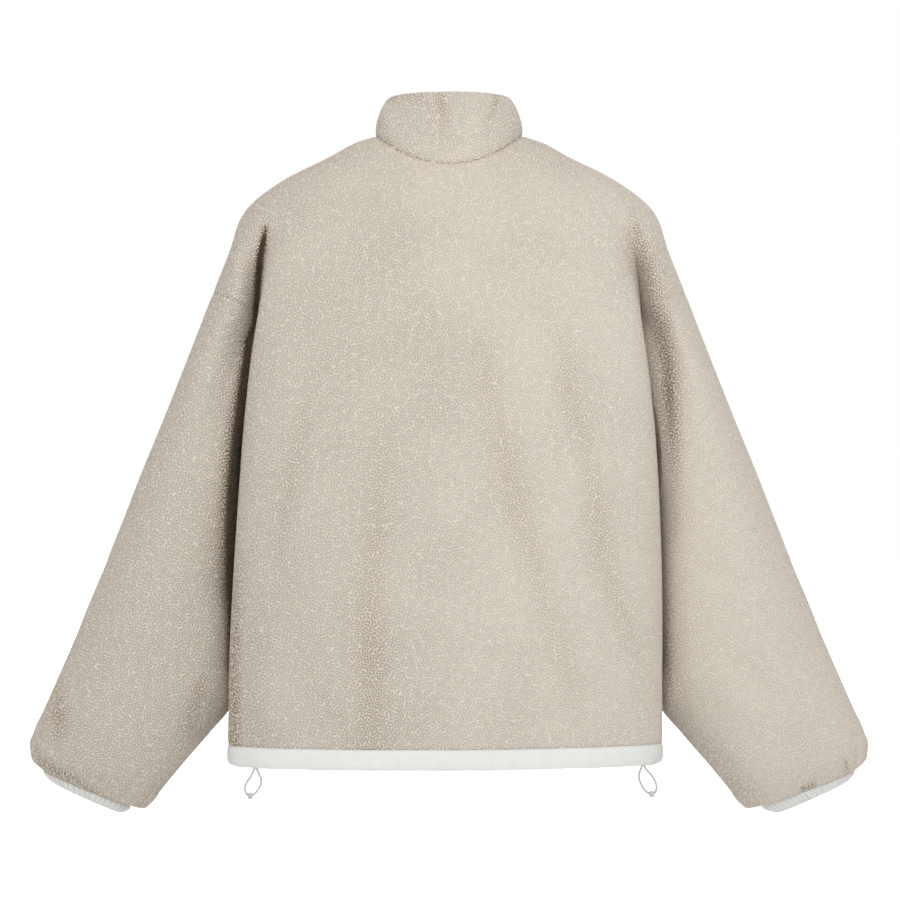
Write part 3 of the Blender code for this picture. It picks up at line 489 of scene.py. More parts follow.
def outward(line):
    """Level unit vectors that point away from the garment along a line that runs from the centre
    back round the wearer's left to the centre front."""
    run = np.gradient(line, axis=0)
    across = np.stack([-run[:, 1], run[:, 0], np.zeros(len(line))], axis=1)
    return unit(across)


def round_left(back_ring, front_ring):
    """One ring of the left side, from the centre back to the edge of the zip's slit."""
    return np.vstack([back_ring, front_ring[::-1][1:]])


def full_round(left):
    """Rows of the left side, each joined at the centre back to its mirror image on the right."""
    return np.concatenate([mirrored(left)[:, :0:-1], left], axis=1)


def hem_grid(back, front):
    top = round_left(back[0, : BACK_STEPS + 1], front[0, : FRONT_STEPS + 1])
    out = outward(top)
    out[0] = (0.0, 1.0, 0.0)
    drop = np.array([0.0, 0.0, -HEM_HEIGHT])
    rows = np.array([top + drop * row.down + out * row.bulge for row in HEM_FINE])
    start, end = HEM_CORNER_X
    lift = HEM_CORNER * ease((top[:, 0] - start) / (end - start))
    rows[..., 2] += lift * column(HEM_FINE, "down")[:, None] ** 3
    rows[:, -1, 0] = ZIP_HALF_OPENING
    return rows


def collar_grid(back, front):
    """The outer skin of the collar's left half, from the neck seam up to its rounded top."""
    seam = round_left(back[-1], front[-1])
    top = COLLAR_TOP
    beyond = seam[:, 1] - NECK_SEAM["y_middle"]
    depth = np.where(beyond > 0, NECK_SEAM["back"], NECK_SEAM["front"])
    turn = np.arctan2(seam[:, 0] / NECK_SEAM["half_width"], beyond / depth)
    reach = np.where(np.cos(turn) > 0, top["y_back"], top["y_front"]) - top["y_middle"]
    rim_x = top["half_width"] * np.sin(turn)
    rim_y = top["y_middle"] + np.abs(np.cos(turn)) * reach
    rim = np.stack([rim_x, rim_y, rim_height(turn)], axis=1)
    out = outward(seam)
    out[0] = (0.0, 1.0, 0.0)
    rows = np.array([seam + (rim - seam) * row.down + out * row.bulge for row in COLLAR_FINE])
    rows[:, -1, 0] = ZIP_HALF_OPENING
    return rows


def rim_height(turn):
    """The collar's top edge, level behind and falling towards the front."""
    back, side, front = (COLLAR_TOP_Z[k] for k in ("back", "side", "front"))
    behind = side + (back - side) * np.cos(turn)
    before = front + (side - front) * np.cos(np.clip(turn - 0.5 * math.pi, 0, None)) ** 2
    return np.where(np.cos(turn) > 0, behind, before)


def cuff_grid(ring, side):
    """The cuff's outer skin, with two points for each one of the sleeve's last ring, and how much shade
    is painted into the grooves between its gathers."""
    count = 2 * len(ring)
    seam = np.empty((count, 3))
    seam[0::2] = ring
    seam[1::2] = (ring + np.roll(ring, -1, axis=0)) / 2
    low = SLEEVE_RINGS[-1]
    if side == "right":
        low = low._replace(x_in=low.x_in - (RIGHT_SLEEVE_FULLER - RIGHT_CUFF_DRAWN_IN))
    dropped = {name: getattr(low, name) + drop for name, drop in CUFF_DROP.items()}
    low = low._replace(y_back=CUFF_BACK, y_front=CUFF_FRONT, **dropped)
    mouth = slanted_oval(low, all_round(count))
    out = unit(mouth - mouth.mean(axis=0))
    raised = gathers(np.cumsum(np.linalg.norm(mouth - np.roll(mouth, 1, axis=0), axis=1)), side)
    rows = []
    for row in CUFF_FINE:
        swell = row.bulge + row.gather * (1 - GATHER_DEPTH * (1 - raised))
        rows.append(seam + (mouth - seam) * row.down + out * swell[:, None])
    # Painted shade in the grooves between the gathers, fading towards the cuff's edge.
    fading = 1 - GATHER_SHADE_FADE * column(CUFF_FINE, "down")
    shade = GATHER_SHADE[side] * np.outer(fading, (1 - raised) ** 2)
    return np.array(rows), shade


WELD_STEPS_PER_MM = 100
THINNEST_CORNER = 0.7


class Skin:
    """The outer skin of every cloth piece. Pieces share the points of their seams, so the walls on
    the two sides of a seam turn together, and each stops STITCHED_GAP short of it."""

    def __init__(self):
        self.blocks = {}

    def add(self, piece, grid, walls=None, closed=False, inside_out=False):
        walls = np.full(len(grid), FLEECE_WALL) if walls is None else np.array(walls, float)
        self.blocks[piece] = (grid, walls, closed, inside_out)

    def weld(self):
        """Gives each place on the skin one number, and makes each piece's four-cornered cells."""
        places, walls = [], []
        self.grids, self.cells = {}, {}
        count = 0
        for piece, (grid, wall, _closed, _inside_out) in self.blocks.items():
            there = ~np.isnan(grid[..., 0])
            number = np.full(grid.shape[:2], -1)
            number[there] = count + np.arange(there.sum())
            count += int(there.sum())
            places.append(grid[there])
            walls.append(np.broadcast_to(wall[:, None], grid.shape[:2])[there])
            self.grids[piece] = number
        places, walls = np.vstack(places), np.concatenate(walls)
        keys = np.round(places * WELD_STEPS_PER_MM).astype(np.int64)
        _keys, first, number_of = np.unique(keys, axis=0, return_index=True, return_inverse=True)
        number_of = number_of.reshape(-1)
        self.points, self.walls = places[first], walls[first]
        for piece, (grid, _wall, closed, inside_out) in self.blocks.items():
            number = np.where(self.grids[piece] >= 0, number_of[self.grids[piece]], -1)
            self.grids[piece] = number
            beside = np.roll(number, -1, axis=1)
            cells = np.stack([number[:-1], beside[:-1], beside[1:], number[1:]], axis=-1)
            cells = cells if closed else cells[:, :-1]
            cells = cells.reshape(-1, 4)
            cells = cells[cells.min(axis=1) >= 0]
            self.cells[piece] = cells[:, ::-1] if inside_out else cells

    def normals(self):
        """The unit way out at every point, one sum for each group of pieces and all of them."""
        totals = {}
        for piece, cells in self.cells.items():
            total = totals.setdefault(group_of(piece), np.zeros_like(self.points))
            corners = self.points[cells]
            after = np.roll(corners, -1, axis=1) - corners
            before = np.roll(corners, 1, axis=1) - corners
            side = np.cross(after, before)
            angle = np.arctan2(np.linalg.norm(side, axis=-1), np.sum(after * before, axis=-1))
            weighted = unit(side) * angle[..., None]
            for corner in range(4):
                for axis in range(3):
                    total[:, axis] += np.bincount(
                        cells[:, corner], weighted[:, corner, axis], len(self.points)
                    )
        return sum(unit(total) for total in totals.values()), totals

    def press(self, relief):
        """Moves every point along its own way out."""
        ways = unit(self.normals()[0])
        nap_shade, drawn = crease_amounts(self, self.points, ways)
        seam_shade, pulled = seam_amounts(self, self.points)
        # How much shade is painted at each point, from the creases and the seams.
        self.crease = np.maximum(nap_shade, seam_shade)
        self.points = self.points + ways * (relief(self, ways) - drawn - pulled)[:, None]

    def settle(self):
        """Works out how the wall turns at every point, and which way every edge faces."""
        total, totals = self.normals()
        count = sum(np.linalg.norm(part, axis=1) > 0 for part in totals.values())
        sharp = np.clip(np.linalg.norm(total, axis=1) / count, THINNEST_CORNER, 1.0)
        self.ways = unit(total)
        self.through = self.ways * (self.walls / sharp)[:, None]
        cells = np.vstack(list(self.cells.values()))
        a, b, c, d = (self.points[cells[:, k]] for k in range(4))
        face = unit(np.cross(c - a, d - b))
        edges = np.concatenate([edge_key(cells[:, k], cells[:, (k + 1) % 4]) for k in range(4)])
        self.edge_keys, place = np.unique(edges, return_inverse=True)
        faces = np.concatenate([face] * 4)
        place = place.reshape(-1)
        sums_by_axis = [np.bincount(place, faces[:, k], len(self.edge_keys)) for k in range(3)]
        self.edge_ways = unit(np.stack(sums_by_axis, axis=1))

    def walled(self, piece):
        """A closed wall: the outer skin, the inner skin, and a rim all round."""
        cells = self.cells[piece]
        used, place = np.unique(cells, return_inverse=True)
        place = place.reshape(cells.shape)
        start, end = cells.reshape(-1), np.roll(cells, -1, axis=1).reshape(-1)
        once = np.isin(edge_key(start, end), repeated_once(edge_key(start, end)))
        start, end = start[once], end[once]
        way = self.edge_ways[np.searchsorted(self.edge_keys, edge_key(start, end))]
        inward = unit(np.cross(way, self.points[end] - self.points[start]))
        pull = np.zeros((len(used), 3))
        start, end = np.searchsorted(used, start), np.searchsorted(used, end)
        np.add.at(pull, start, inward)
        np.add.at(pull, end, inward)
        size = np.maximum(np.sum(pull * pull, axis=1), 0.5)[:, None]
        outer = self.points[used] + pull * STITCHED_GAP / size
        inner = outer - self.through[used]
        count = len(used)
        rim = np.stack([end, start, start + count, end + count], axis=1)
        crease = np.concatenate([self.crease[used], np.zeros(count)])
        return np.vstack([outer, inner]), np.vstack([place, place[:, ::-1] + count, rim]), crease

    def shared(self, first, second):
        """The points of the seam between two groups of pieces."""
        found = []
        for name in (first, second):
            mine = [np.unique(c) for piece, c in self.cells.items() if piece.startswith(name)]
            found.append(np.unique(np.concatenate(mine)))
        return np.intersect1d(*found)


def group_of(piece):
    return "body" if piece.startswith(("back", "front")) else piece


MOST_POINTS = 10_000_000


def edge_key(first, second):
    """One number for an edge, the same from both ends."""
    low, high = np.minimum(first, second).astype(np.int64), np.maximum(first, second)
    return low * MOST_POINTS + high


def repeated_once(keys):
    found, count = np.unique(keys, return_counts=True)
    return found[count == 1]


def centre_front(front, hem, collar):
    """The centre line of the zip from the bottom of the hem band to the top of the collar, and the
    way out of the cloth at each of its points."""
    edge = np.vstack([hem[:0:-1, -1], front[:, 0], collar[1:, -1]])
    edge[:, 0] = 0.0
    level = edge.copy()
    level[: len(hem), 1] = front[0, 0, 1]
    top = len(edge) - len(collar)
    ends = [top, -3]
    level[top:, 1] = np.interp(edge[top:, 2], edge[ends, 2], edge[ends, 1])
    line = evenly(level, ZIP_STEPS)
    run = np.gradient(line, axis=0)
    out = np.stack([np.zeros(len(line)), -run[:, 2], run[:, 1]], axis=1)
    return line, unit(out)


def between(line, out, low, high):
    """The stretch of the zip's centre line between two lengths up from its bottom end."""
    inside = [d for d in lengths_along(line) if low + 1 < d < high - 1]
    wanted = np.array([low] + inside + [high])
    return interpolated(line, line, wanted), unit(interpolated(line, out, wanted))


def strip(line, out, sides, depths):
    """A flat strip along the zip, as points and faces."""
    (x0, x1), (d0, d1) = sorted(sides), depths
    corners = ((x0, d0), (x1, d0), (x1, d1), (x0, d1))
    outlines = [
        [place + np.array([x, 0, 0]) - way * depth for x, depth in corners]
        for place, way in zip(line, out)
    ]
    return stacked(swayed(outlines))


def stacked(outlines):
    """A solid through outlines that all have the same number of points, closed at both ends."""
    count = len(outlines[0])
    points = np.vstack(outlines)
    faces = [list(range(count))[::-1], [len(points) - count + k for k in range(count)]]
    for layer in range(len(outlines) - 1):
        for k in range(count):
            a, b = layer * count + k, layer * count + (k + 1) % count
            faces.append([a, b, b + count, a + count])
    return points, faces


def ringed(rings):
    """A solid with a hole right through it: the rings follow one another all the way round."""
    count = len(rings[0])
    points = np.vstack(rings)
    faces = []
    for layer in range(len(rings)):
        here, beyond = layer * count, (layer + 1) % len(rings) * count
        for k in range(count):
            beside = (k + 1) % count
            faces.append([beyond + k, beyond + beside, here + beside, here + k])
    return points, faces


# Folds, creases and gathers ----------------------------------------------------------------------

# Soft folds and dents seen from behind or in front: a line across the garment, how wide the fold is
# and how high, or deep where it is negative. face is 1 on the back and -1 on the front.
Fold = namedtuple("Fold", "x0 z0 x1 z1 width height face")
FOLDS = (
    Fold(130, -300, 136, -640, 24, 2.4, 1),
    Fold(34, -330, 42, -640, 24, 1.4, 1),
    Fold(5, -260, -8, -620, 30, 1.2, 1),
    Fold(-102, -380, -120, -560, 20, 1.6, 1),
    Fold(-146, -240, -160, -420, 20, 1.6, 1),
    Fold(-190, -330, -200, -560, 14, 1.4, 1),
    Fold(170, -250, 186, -560, 18, -1.6, 1),
    Fold(222, -100, 214, -215, 9, 3.0, 1),
    Fold(250, -470, 240, -600, 18, 5.0, 1),
    Fold(300, -430, 330, -560, 26, 2.0, 1),
    Fold(395, -590, 380, -660, 20, -2.0, 1),
    Fold(-207, -105, -216, -205, 10, 4.0, 1),
    Fold(-243, -380, -246, -600, 16, 5.0, 1),
    Fold(-256, -448, -325, -474, 14, -2.6, 1),
    Fold(-282, -534, -360, -604, 13, -4.0, 1),
    Fold(-270, -560, -330, -618, 16, 2.5, 1),
    Fold(66, 30, 58, -12, 9, 2.5, 1),
    Fold(-30, 44, -33, -14, 9, 1.8, 1),
    Fold(120, -240, 130, -600, 24, -2.0, -1),
    Fold(70, -260, 78, -620, 22, 2.0, -1),
    Fold(-120, -240, -130, -600, 24, -2.0, -1),
    Fold(-60, -280, -66, -620, 22, 2.0, -1),
    Fold(300, -400, 340, -540, 24, -2.6, -1),
    Fold(-300, -400, -340, -540, 24, -2.6, -1),
)

# Where two groups of pieces are sewn together: how far the seam pulls the cloth in, how wide, and
# how much shade is painted along it, as dark pits in the fleece and darker cloth on the hem band. The
# painted shade is a narrower line than the dip.
Seam = namedtuple("Seam", "first second depth width open")
SEAMS = (
    Seam("sleeve_left", "back", 0.8, 2.6, 0.22),
    Seam("sleeve_right", "back", 0.5, 3.5, 0.05),
    Seam("sleeve_left", "front", 0.5, 3.5, 0.05),
    Seam("sleeve_right", "front", 0.5, 3.5, 0.05),
    Seam("collar", "back", 0.9, 2.4, 0.3),
    Seam("collar", "front", 0.7, 3.0, 0.1),
    Seam("back", "front", 0.9, 4.0, 0.05),
    Seam("hem_band", "back", 0.8, 2.2, 0.22),
    Seam("hem_band", "front", 0.8, 2.2, 0.22),
)
SEAM_SHADE_SHARE = 0.6
SEAM_MARGIN = 12

# The fleece is lumpy from point to point. The woven hem band has level ripples: each is a wave whose
# own phase is bent by a longer wave, on the stretch between the two heights.
LUMP_HEIGHT = 0.08
LUMP_SEED = 7
Ripple = namedtuple("Ripple", "height length bend bend_length start")
RIPPLES = (
    Ripple(0.22, 3.1, 1.3, 9.7, 0.0),
    Ripple(0.18, 7.3, 0.0, 1.0, 2.0),
    Ripple(0.30, 13.0, 1.7, 31.0, 0.0),
)
RIPPLE_TOP, RIPPLE_BOTTOM = -636, -660
RIPPLE_EDGE = 5
HEM_REACH = 240

# Creases with shade painted into them, shown as dark pits in a looser nap: a line of places on the
# back of a piece, how wide the crease is there, how much shade is painted, and how deep the cloth is
# drawn in.
Place = namedtuple("Place", "x z width open depth")
SHADED_CREASES = {
    "sleeve_left": (
        (
            Place(199.5, -171, 3.2, 1, 1.5), Place(201.6, -192, 4.2, 1, 1.5),
            Place(207.9, -216, 6.3, 1, 1.5), Place(212.1, -257, 8.4, 1, 1.5),
            Place(216.3, -300, 10.5, 1, 1.5), Place(220.5, -343, 11.6, 1, 1.5),
            Place(223.7, -385, 11.6, 1, 1.5), Place(225.8, -424, 10.5, 1, 1),
            Place(227.9, -466, 10.5, 0.9, 0.5), Place(228.9, -509, 7.4, 0.75, 0.5),
            Place(228.9, -552, 5.2, 0.6, 0), Place(228.9, -600, 4.2, 0.5, 0),
        ),
        (
            Place(410.6, -581, 10.5, 0.2, 0), Place(408.5, -604, 11.6, 0.33, 0),
            Place(406.4, -625, 10.5, 0.25, 0),
        ),
        (
            Place(251, -549, 7.4, 0.1, 0), Place(261.4, -585, 8.4, 0.25, 0.5),
            Place(274.1, -625, 9.5, 0.2, 0.5),
        ),
        (
            Place(433.7, -644, 5.2, 0.2, 0), Place(427.4, -658, 7.4, 0.32, 0.3),
            Place(406.4, -669, 7.4, 0.34, 0.5), Place(387.4, -678, 7.4, 0.3, 0.5),
            Place(371.7, -687, 6.3, 0.22, 0.3), Place(358.1, -693, 5.2, 0.1, 0),
        ),
    ),
    "sleeve_right": (
        (
            Place(-211.1, -159, 13.7, 0.32, 0.3), Place(-217.4, -184, 14.7, 0.4, 0.5),
            Place(-221.6, -213, 14.7, 0.48, 1), Place(-225.8, -239, 12.6, 0.56, 1.2),
            Place(-227.9, -269, 11.6, 0.62, 1.2), Place(-230, -290, 11.6, 0.58, 1),
            Place(-231, -311, 11.6, 0.52, 0.8), Place(-232.1, -332, 11.6, 0.42, 0.5),
            Place(-233.1, -358, 10.5, 0.26, 0.2), Place(-234.2, -381, 9.5, 0.1, 0),
            Place(-233.1, -413, 7.4, 0.2, 0), Place(-232.1, -444, 6.3, 0.1, 0),
            Place(-230, -486, 6.3, 0.3, 0), Place(-228.9, -539, 6.3, 0.4, 0),
            Place(-230, -570, 6.3, 0.4, 0), Place(-227.9, -596, 5.2, 0.3, 0),
        ),
        (
            Place(-203.7, -171, 6.3, 0.2, 0), Place(-209, -208, 6.3, 0.25, 0),
        ),
        (
            Place(-234.2, -607, 14.7, 0.1, 0), Place(-253.1, -631, 18.9, 0.2, 0),
            Place(-279.3, -656, 18.9, 0.25, 0), Place(-303.4, -684, 16.8, 0.25, 0),
            Place(-322.4, -698, 12.6, 0.2, 0),
        ),
        (
            Place(-355.9, -591, 14.7, 0.05, 0), Place(-368.6, -633, 16.8, 0.1, 0),
        ),
        (
            Place(-413.7, -651, 2.1, 0.1, 0.3), Place(-416.9, -659, 3.2, 0.45, 1.5),
            Place(-417.9, -667, 3.2, 0.35, 0.8),
        ),
        (
            Place(-370.7, -685, 3.2, 0.55, 1.5), Place(-381.2, -680, 4.2, 0.45, 1.2),
        ),
    ),
    "back": (
        (
            Place(-189, -81, 5.2, 0.15, 0), Place(-194.2, -100, 8.4, 0.34, 0.4),
            Place(-202.7, -125, 11.6, 0.36, 0.4), Place(-211.1, -150, 12.6, 0.34, 0.3),
            Place(-217.4, -171, 13.7, 0.34, 0.3),
        ),
        (
            Place(190.1, -97, 3.2, 0.6, 0.5), Place(192.2, -110, 4.2, 1, 1),
            Place(196.3, -130, 4.2, 1, 1.5), Place(198.5, -151, 4.2, 1, 1.5),
            Place(199.5, -171, 4.2, 1, 1.5), Place(201.6, -190, 3.2, 1, 1.2),
            Place(206.9, -218, 3.2, 1, 0.8), Place(211.1, -257, 3.2, 1, 0.5),
            Place(214.7, -297, 3.2, 1, 0.5), Place(217.9, -329, 3.2, 1, 0.5),
            Place(221, -362, 3.2, 1, 0.3), Place(224.2, -402, 2.6, 1, 0.3),
            Place(227.3, -444, 2.6, 0.7, 0.2), Place(228.4, -486, 2.6, 0.5, 0),
            Place(228.9, -528, 3.2, 0.45, 0), Place(229.4, -591, 3.2, 0.4, 0),
        ),
        (
            Place(64, -234, 14.7, 0.03, 0), Place(65.1, -297, 17.9, 0.1, 0.5),
            Place(68.2, -381, 18.9, 0.12, 0.8), Place(76.7, -428, 18.9, 0.18, 1),
            Place(79.8, -497, 22.1, 0.2, 1), Place(79.8, -570, 22.1, 0.2, 1),
            Place(81.9, -628, 22.1, 0.18, 0.8),
        ),
        (
            Place(-34.6, -203, 12.6, 0.03, 0), Place(-43.1, -260, 15.8, 0.14, 0.8),
            Place(-52.5, -313, 17.9, 0.18, 1), Place(-65.1, -365, 17.9, 0.18, 1),
            Place(-79.8, -418, 17.9, 0.17, 1), Place(-91.4, -460, 16.8, 0.15, 1),
            Place(-106.1, -502, 16.8, 0.15, 1), Place(-116.6, -544, 15.8, 0.13, 0.8),
            Place(-134.4, -596, 15.8, 0.1, 0.5), Place(-141.8, -631, 14.7, 0.06, 0.3),
        ),
        (
            Place(-99.8, -171, 12.6, 0.05, 0), Place(-114.5, -218, 15.8, 0.13, 0.5),
            Place(-125, -276, 15.8, 0.14, 0.8), Place(-138.6, -318, 15.8, 0.16, 1),
            Place(-148.1, -371, 14.7, 0.18, 1), Place(-157.5, -423, 14.7, 0.18, 1),
            Place(-167, -465, 14.7, 0.19, 1), Place(-179.6, -502, 13.7, 0.18, 1),
            Place(-188, -533, 11.6, 0.12, 0.5), Place(-193.2, -560, 9.5, 0.03, 0),
        ),
        (
            Place(137.6, -245, 11.6, 0.05, 0.3), Place(151.2, -308, 12.6, 0.12, 0.8),
            Place(165.9, -381, 12.6, 0.13, 0.8), Place(176.4, -434, 12.6, 0.08, 0.5),
        ),
        (
            Place(135.5, -570, 14.7, 0.08, 0.3), Place(109.2, -607, 14.7, 0.12, 0.5),
            Place(104, -633, 14.7, 0.12, 0.5),
        ),
        (
            Place(216.3, -444, 8.4, 0.1, 0), Place(219.5, -486, 8.4, 0.3, 0),
            Place(221.6, -539, 8.4, 0.38, 0), Place(221.6, -635, 9.5, 0.42, 0),
        ),
        (
            Place(196.3, -486, 14.7, 0.05, 0), Place(200.6, -528, 16.8, 0.12, 0),
            Place(200.6, -635, 16.8, 0.14, 0),
        ),
    ),
    "collar": (
        (
            Place(8.4, 49, 6.3, 0.22, 0.5), Place(7.4, 26, 7.4, 0.26, 0.8),
            Place(5.2, 5, 8.4, 0.14, 0.6), Place(-3.2, -9, 8.4, 0.1, 0.3),
        ),
        (
            Place(-50.4, 41, 3.2, 0.45, 0.6), Place(-46.2, 22, 4.2, 0.25, 0.6),
            Place(-39.9, 3, 5.2, 0.1, 0.3),
        ),
        (
            Place(57.8, 42, 7.4, 0.3, 0.3), Place(43.1, 43, 8.4, 0.25, 0.3),
            Place(26.2, 35, 8.4, 0.15, 0.3),
        ),
    ),
}


# A fold, or a crease with its painted shade, shows whole where the cloth faces the viewer and not at
# all where it faces away: what is left where it is edge-on, and how fast that changes. FOLD_ENDS is
# the share of a fold's length over which each end fades out.
CREASE_FACING = (0.7, 2.0)
FOLD_FACING = (0.2, 1.4)
FOLD_ENDS = 0.3


def beside_line(points, start, end):
    """How far along a straight line each point lies, seen from behind, and how far from it."""
    start = np.array(start, float)
    run = np.array(end, float) - start
    beside = points[:, [0, 2]] - start
    share = np.clip(beside @ run / (run @ run), 0.0, 1.0)
    return share, np.linalg.norm(beside - share[:, None] * run, axis=1)


def crease_amounts(skin, points, ways):
    """How much shade is painted into the nap at every point, as dark pits in a looser nap, and how far
    the creases draw the cloth in. They fade out where the cloth turns away from the back."""
    nap_shade, drawn = np.zeros(len(points)), np.zeros(len(points))
    facing = ease(CREASE_FACING[0] + CREASE_FACING[1] * ways[:, 1])
    for piece, creases in SHADED_CREASES.items():
        mine = np.zeros(len(points), bool)
        mine[np.unique(skin.cells[piece])] = True
        for crease in creases:
            for here, beyond in zip(crease, crease[1:]):
                share, gap = beside_line(points, here[:2], beyond[:2])
                width, nap_rise_and_shade, depth = (here[k] + share * (beyond[k] - here[k]) for k in (2, 3, 4))
                near = np.exp(-((gap / width) ** 2)) * facing * mine
                nap_shade = np.maximum(nap_shade, nap_rise_and_shade * near)
                drawn = np.maximum(drawn, depth * near)
    return nap_shade, drawn


def fold_relief(points, ways):
    """How far the soft folds lift the cloth. Each one fades out towards its ends, and where the
    cloth turns away from the side that it is seen on."""
    total = np.zeros(len(points))
    for fold in FOLDS:
        share, gap = beside_line(points, (fold.x0, fold.z0), (fold.x1, fold.z1))
        facing = ease(FOLD_FACING[0] + FOLD_FACING[1] * ways[:, 1] * fold.face)
        ends = ease(np.minimum(share, 1 - share) / FOLD_ENDS)
        total += fold.height * np.exp(-((gap / fold.width) ** 2)) * facing * ends
    return total


def seam_amounts(skin, points):
    """How much shade is painted at the seams, and how far they draw the cloth in."""
    nap_shade, drawn = np.zeros(len(points)), np.zeros(len(points))
    for seam in SEAMS:
        line = skin.shared(seam.first, seam.second)
        if not len(line):
            continue
        tree = kdtree.KDTree(len(line))
        for place, number in enumerate(line):
            tree.insert(points[number], place)
        tree.balance()
        low, high = points[line].min(axis=0) - SEAM_MARGIN, points[line].max(axis=0) + SEAM_MARGIN
        near = np.nonzero(np.all((points > low) & (points < high), axis=1))[0]
        gap = np.array([tree.find(points[k])[2] for k in near])
        drawn[near] = np.maximum(drawn[near], seam.depth * np.exp(-((gap / seam.width) ** 2)))
        narrow = seam.width * SEAM_SHADE_SHARE
        nap_shade[near] = np.maximum(nap_shade[near], seam.open * np.exp(-((gap / narrow) ** 2)))
    return nap_shade, drawn


def skin_relief(skin, ways):
    """How far each point of the cloth stands out: folds, uneven nap and the ripples of the hem."""
    points = skin.points
    fleece = np.zeros(len(points), bool)
    for piece, cells in skin.cells.items():
        if not piece.startswith(("hem", "cuff")):
            fleece[np.unique(cells)] = True
    lumps = np.random.default_rng(LUMP_SEED).normal(0.0, LUMP_HEIGHT, len(points))
    lumps = np.clip(lumps, -2 * LUMP_HEIGHT, 2 * LUMP_HEIGHT) * fleece
    x, z = points[:, 0], points[:, 2]
    ripple = sum(
        wave.height * np.sin(x / wave.length + wave.bend * np.sin(x / wave.bend_length) + wave.start)
        for wave in RIPPLES
    )
    on_hem = ease((RIPPLE_TOP - z) / RIPPLE_EDGE) * ease((z - RIPPLE_BOTTOM) / RIPPLE_EDGE)
    on_hem *= ~fleece & (np.abs(x) < HEM_REACH)
    return fold_relief(points, ways) * fleece + lumps + ripple * on_hem


# Where a sleeve's inner edge lies flat beside the body: the place across, the width, the heights
# between which it does, and how far the cloth is brought towards the back.
FlatEdge = namedtuple("FlatEdge", "piece x width top bottom reach")
FLAT_EDGES = (
    FlatEdge("sleeve_right", -224, 11, -390, -640, 8.0),
    FlatEdge("sleeve_left", 227, 11, -470, -640, 6.0),
)
# The stretch over which it fades out at its two ends, and how far back the cloth has to lie.
FLAT_FADE = 60
FLAT_BEHIND = (-20, 10)


def flatten_edges(skin):
    """Lays the sleeves' inner edges flatter beside the body, on the back."""
    for edge in FLAT_EDGES:
        mine = np.unique(skin.cells[edge.piece])
        points = skin.points[mine]
        near = np.exp(-(((points[:, 0] - edge.x) / edge.width) ** 2))
        height = points[:, 2]
        down = ease((edge.top - height) / FLAT_FADE) * ease((height - edge.bottom) / FLAT_FADE)
        start, end = FLAT_BEHIND
        behind = ease((points[:, 1] - start) / (end - start))
        skin.points[mine, 1] += edge.reach * near * down * behind


@functools.cache
def jacket_skin():
    """Every cloth piece's outer skin, with its folds and seams, and the centre line of the zip."""
    back, front = body_half("back"), body_half("front")
    hem, collar = hem_grid(back, front), collar_grid(back, front)
    loop = armhole_loop(back, front)
    sleeves = {side: sleeve_grid(loop, side, back, front) for side in ("left", "right")}
    sleeves = {side: puckered(sleeve, side) for side, sleeve in sleeves.items()}
    cuffs = {side: cuff_grid(sleeve[-1], side) for side, sleeve in sleeves.items()}
    skin = Skin()
    skin.add("back", swayed(full_round(back)), inside_out=True)
    skin.add("front_left", swayed(front))
    skin.add("front_right", swayed(mirrored(front)), inside_out=True)
    skin.add("sleeve_left", sleeves["left"], closed=True, inside_out=True)
    skin.add("sleeve_right", mirrored(sleeves["right"]), closed=True)
    skin.add("collar", full_round(collar), column(COLLAR_FINE, "wall"), inside_out=True)
    skin.add("hem_band", swayed(full_round(hem)), column(HEM_FINE, "wall"))
    cuff_walls = column(CUFF_FINE, "wall")
    skin.add("cuff_left", cuffs["left"][0], cuff_walls, closed=True, inside_out=True)
    skin.add("cuff_right", mirrored(cuffs["right"][0]), cuff_walls, closed=True)
    skin.weld()
    skin.press(skin_relief)
    flatten_edges(skin)
    # Shade painted into the grooves between each cuff's gathers.
    for side, (_rows, shade) in cuffs.items():
        skin.crease[skin.grids["cuff_" + side]] = shade
    skin.settle()
    return skin, centre_front(front, hem, collar), hem


# Short grooves where the fleece is gathered into a cuff: the turn round the sleeve, the width in
# turn, the depth and how far up the sleeve it starts. They are deepest at PUCKER_DEEPEST, and
# PUCKER_LOST of their depth is gone at the cuff.
PUCKER_DEEPEST = 0.985
PUCKER_LOST = 0.75
Pucker = namedtuple("Pucker", "turn width depth start")
PUCKERS = {
    "left": (
        Pucker(0.50, 0.060, 2.2, 0.90), Pucker(0.95, 0.050, 2.6, 0.92),
        Pucker(1.32, 0.050, 3.0, 0.91), Pucker(1.75, 0.060, 2.6, 0.92),
        Pucker(2.20, 0.050, 2.4, 0.90), Pucker(2.70, 0.060, 2.0, 0.92),
        Pucker(3.50, 0.070, 2.2, 0.90), Pucker(4.20, 0.070, 2.4, 0.92),
        Pucker(4.90, 0.060, 2.2, 0.91), Pucker(5.70, 0.070, 2.2, 0.92),
    ),
    "right": (
        Pucker(0.62, 0.090, 3.2, 0.93), Pucker(1.15, 0.050, 1.4, 0.95),
        Pucker(1.60, 0.080, 3.4, 0.94), Pucker(2.30, 0.060, 1.6, 0.95),
        Pucker(3.50, 0.070, 2.0, 0.93), Pucker(4.20, 0.070, 2.2, 0.93),
        Pucker(4.90, 0.060, 2.0, 0.93), Pucker(5.70, 0.070, 2.0, 0.93),
    ),
}


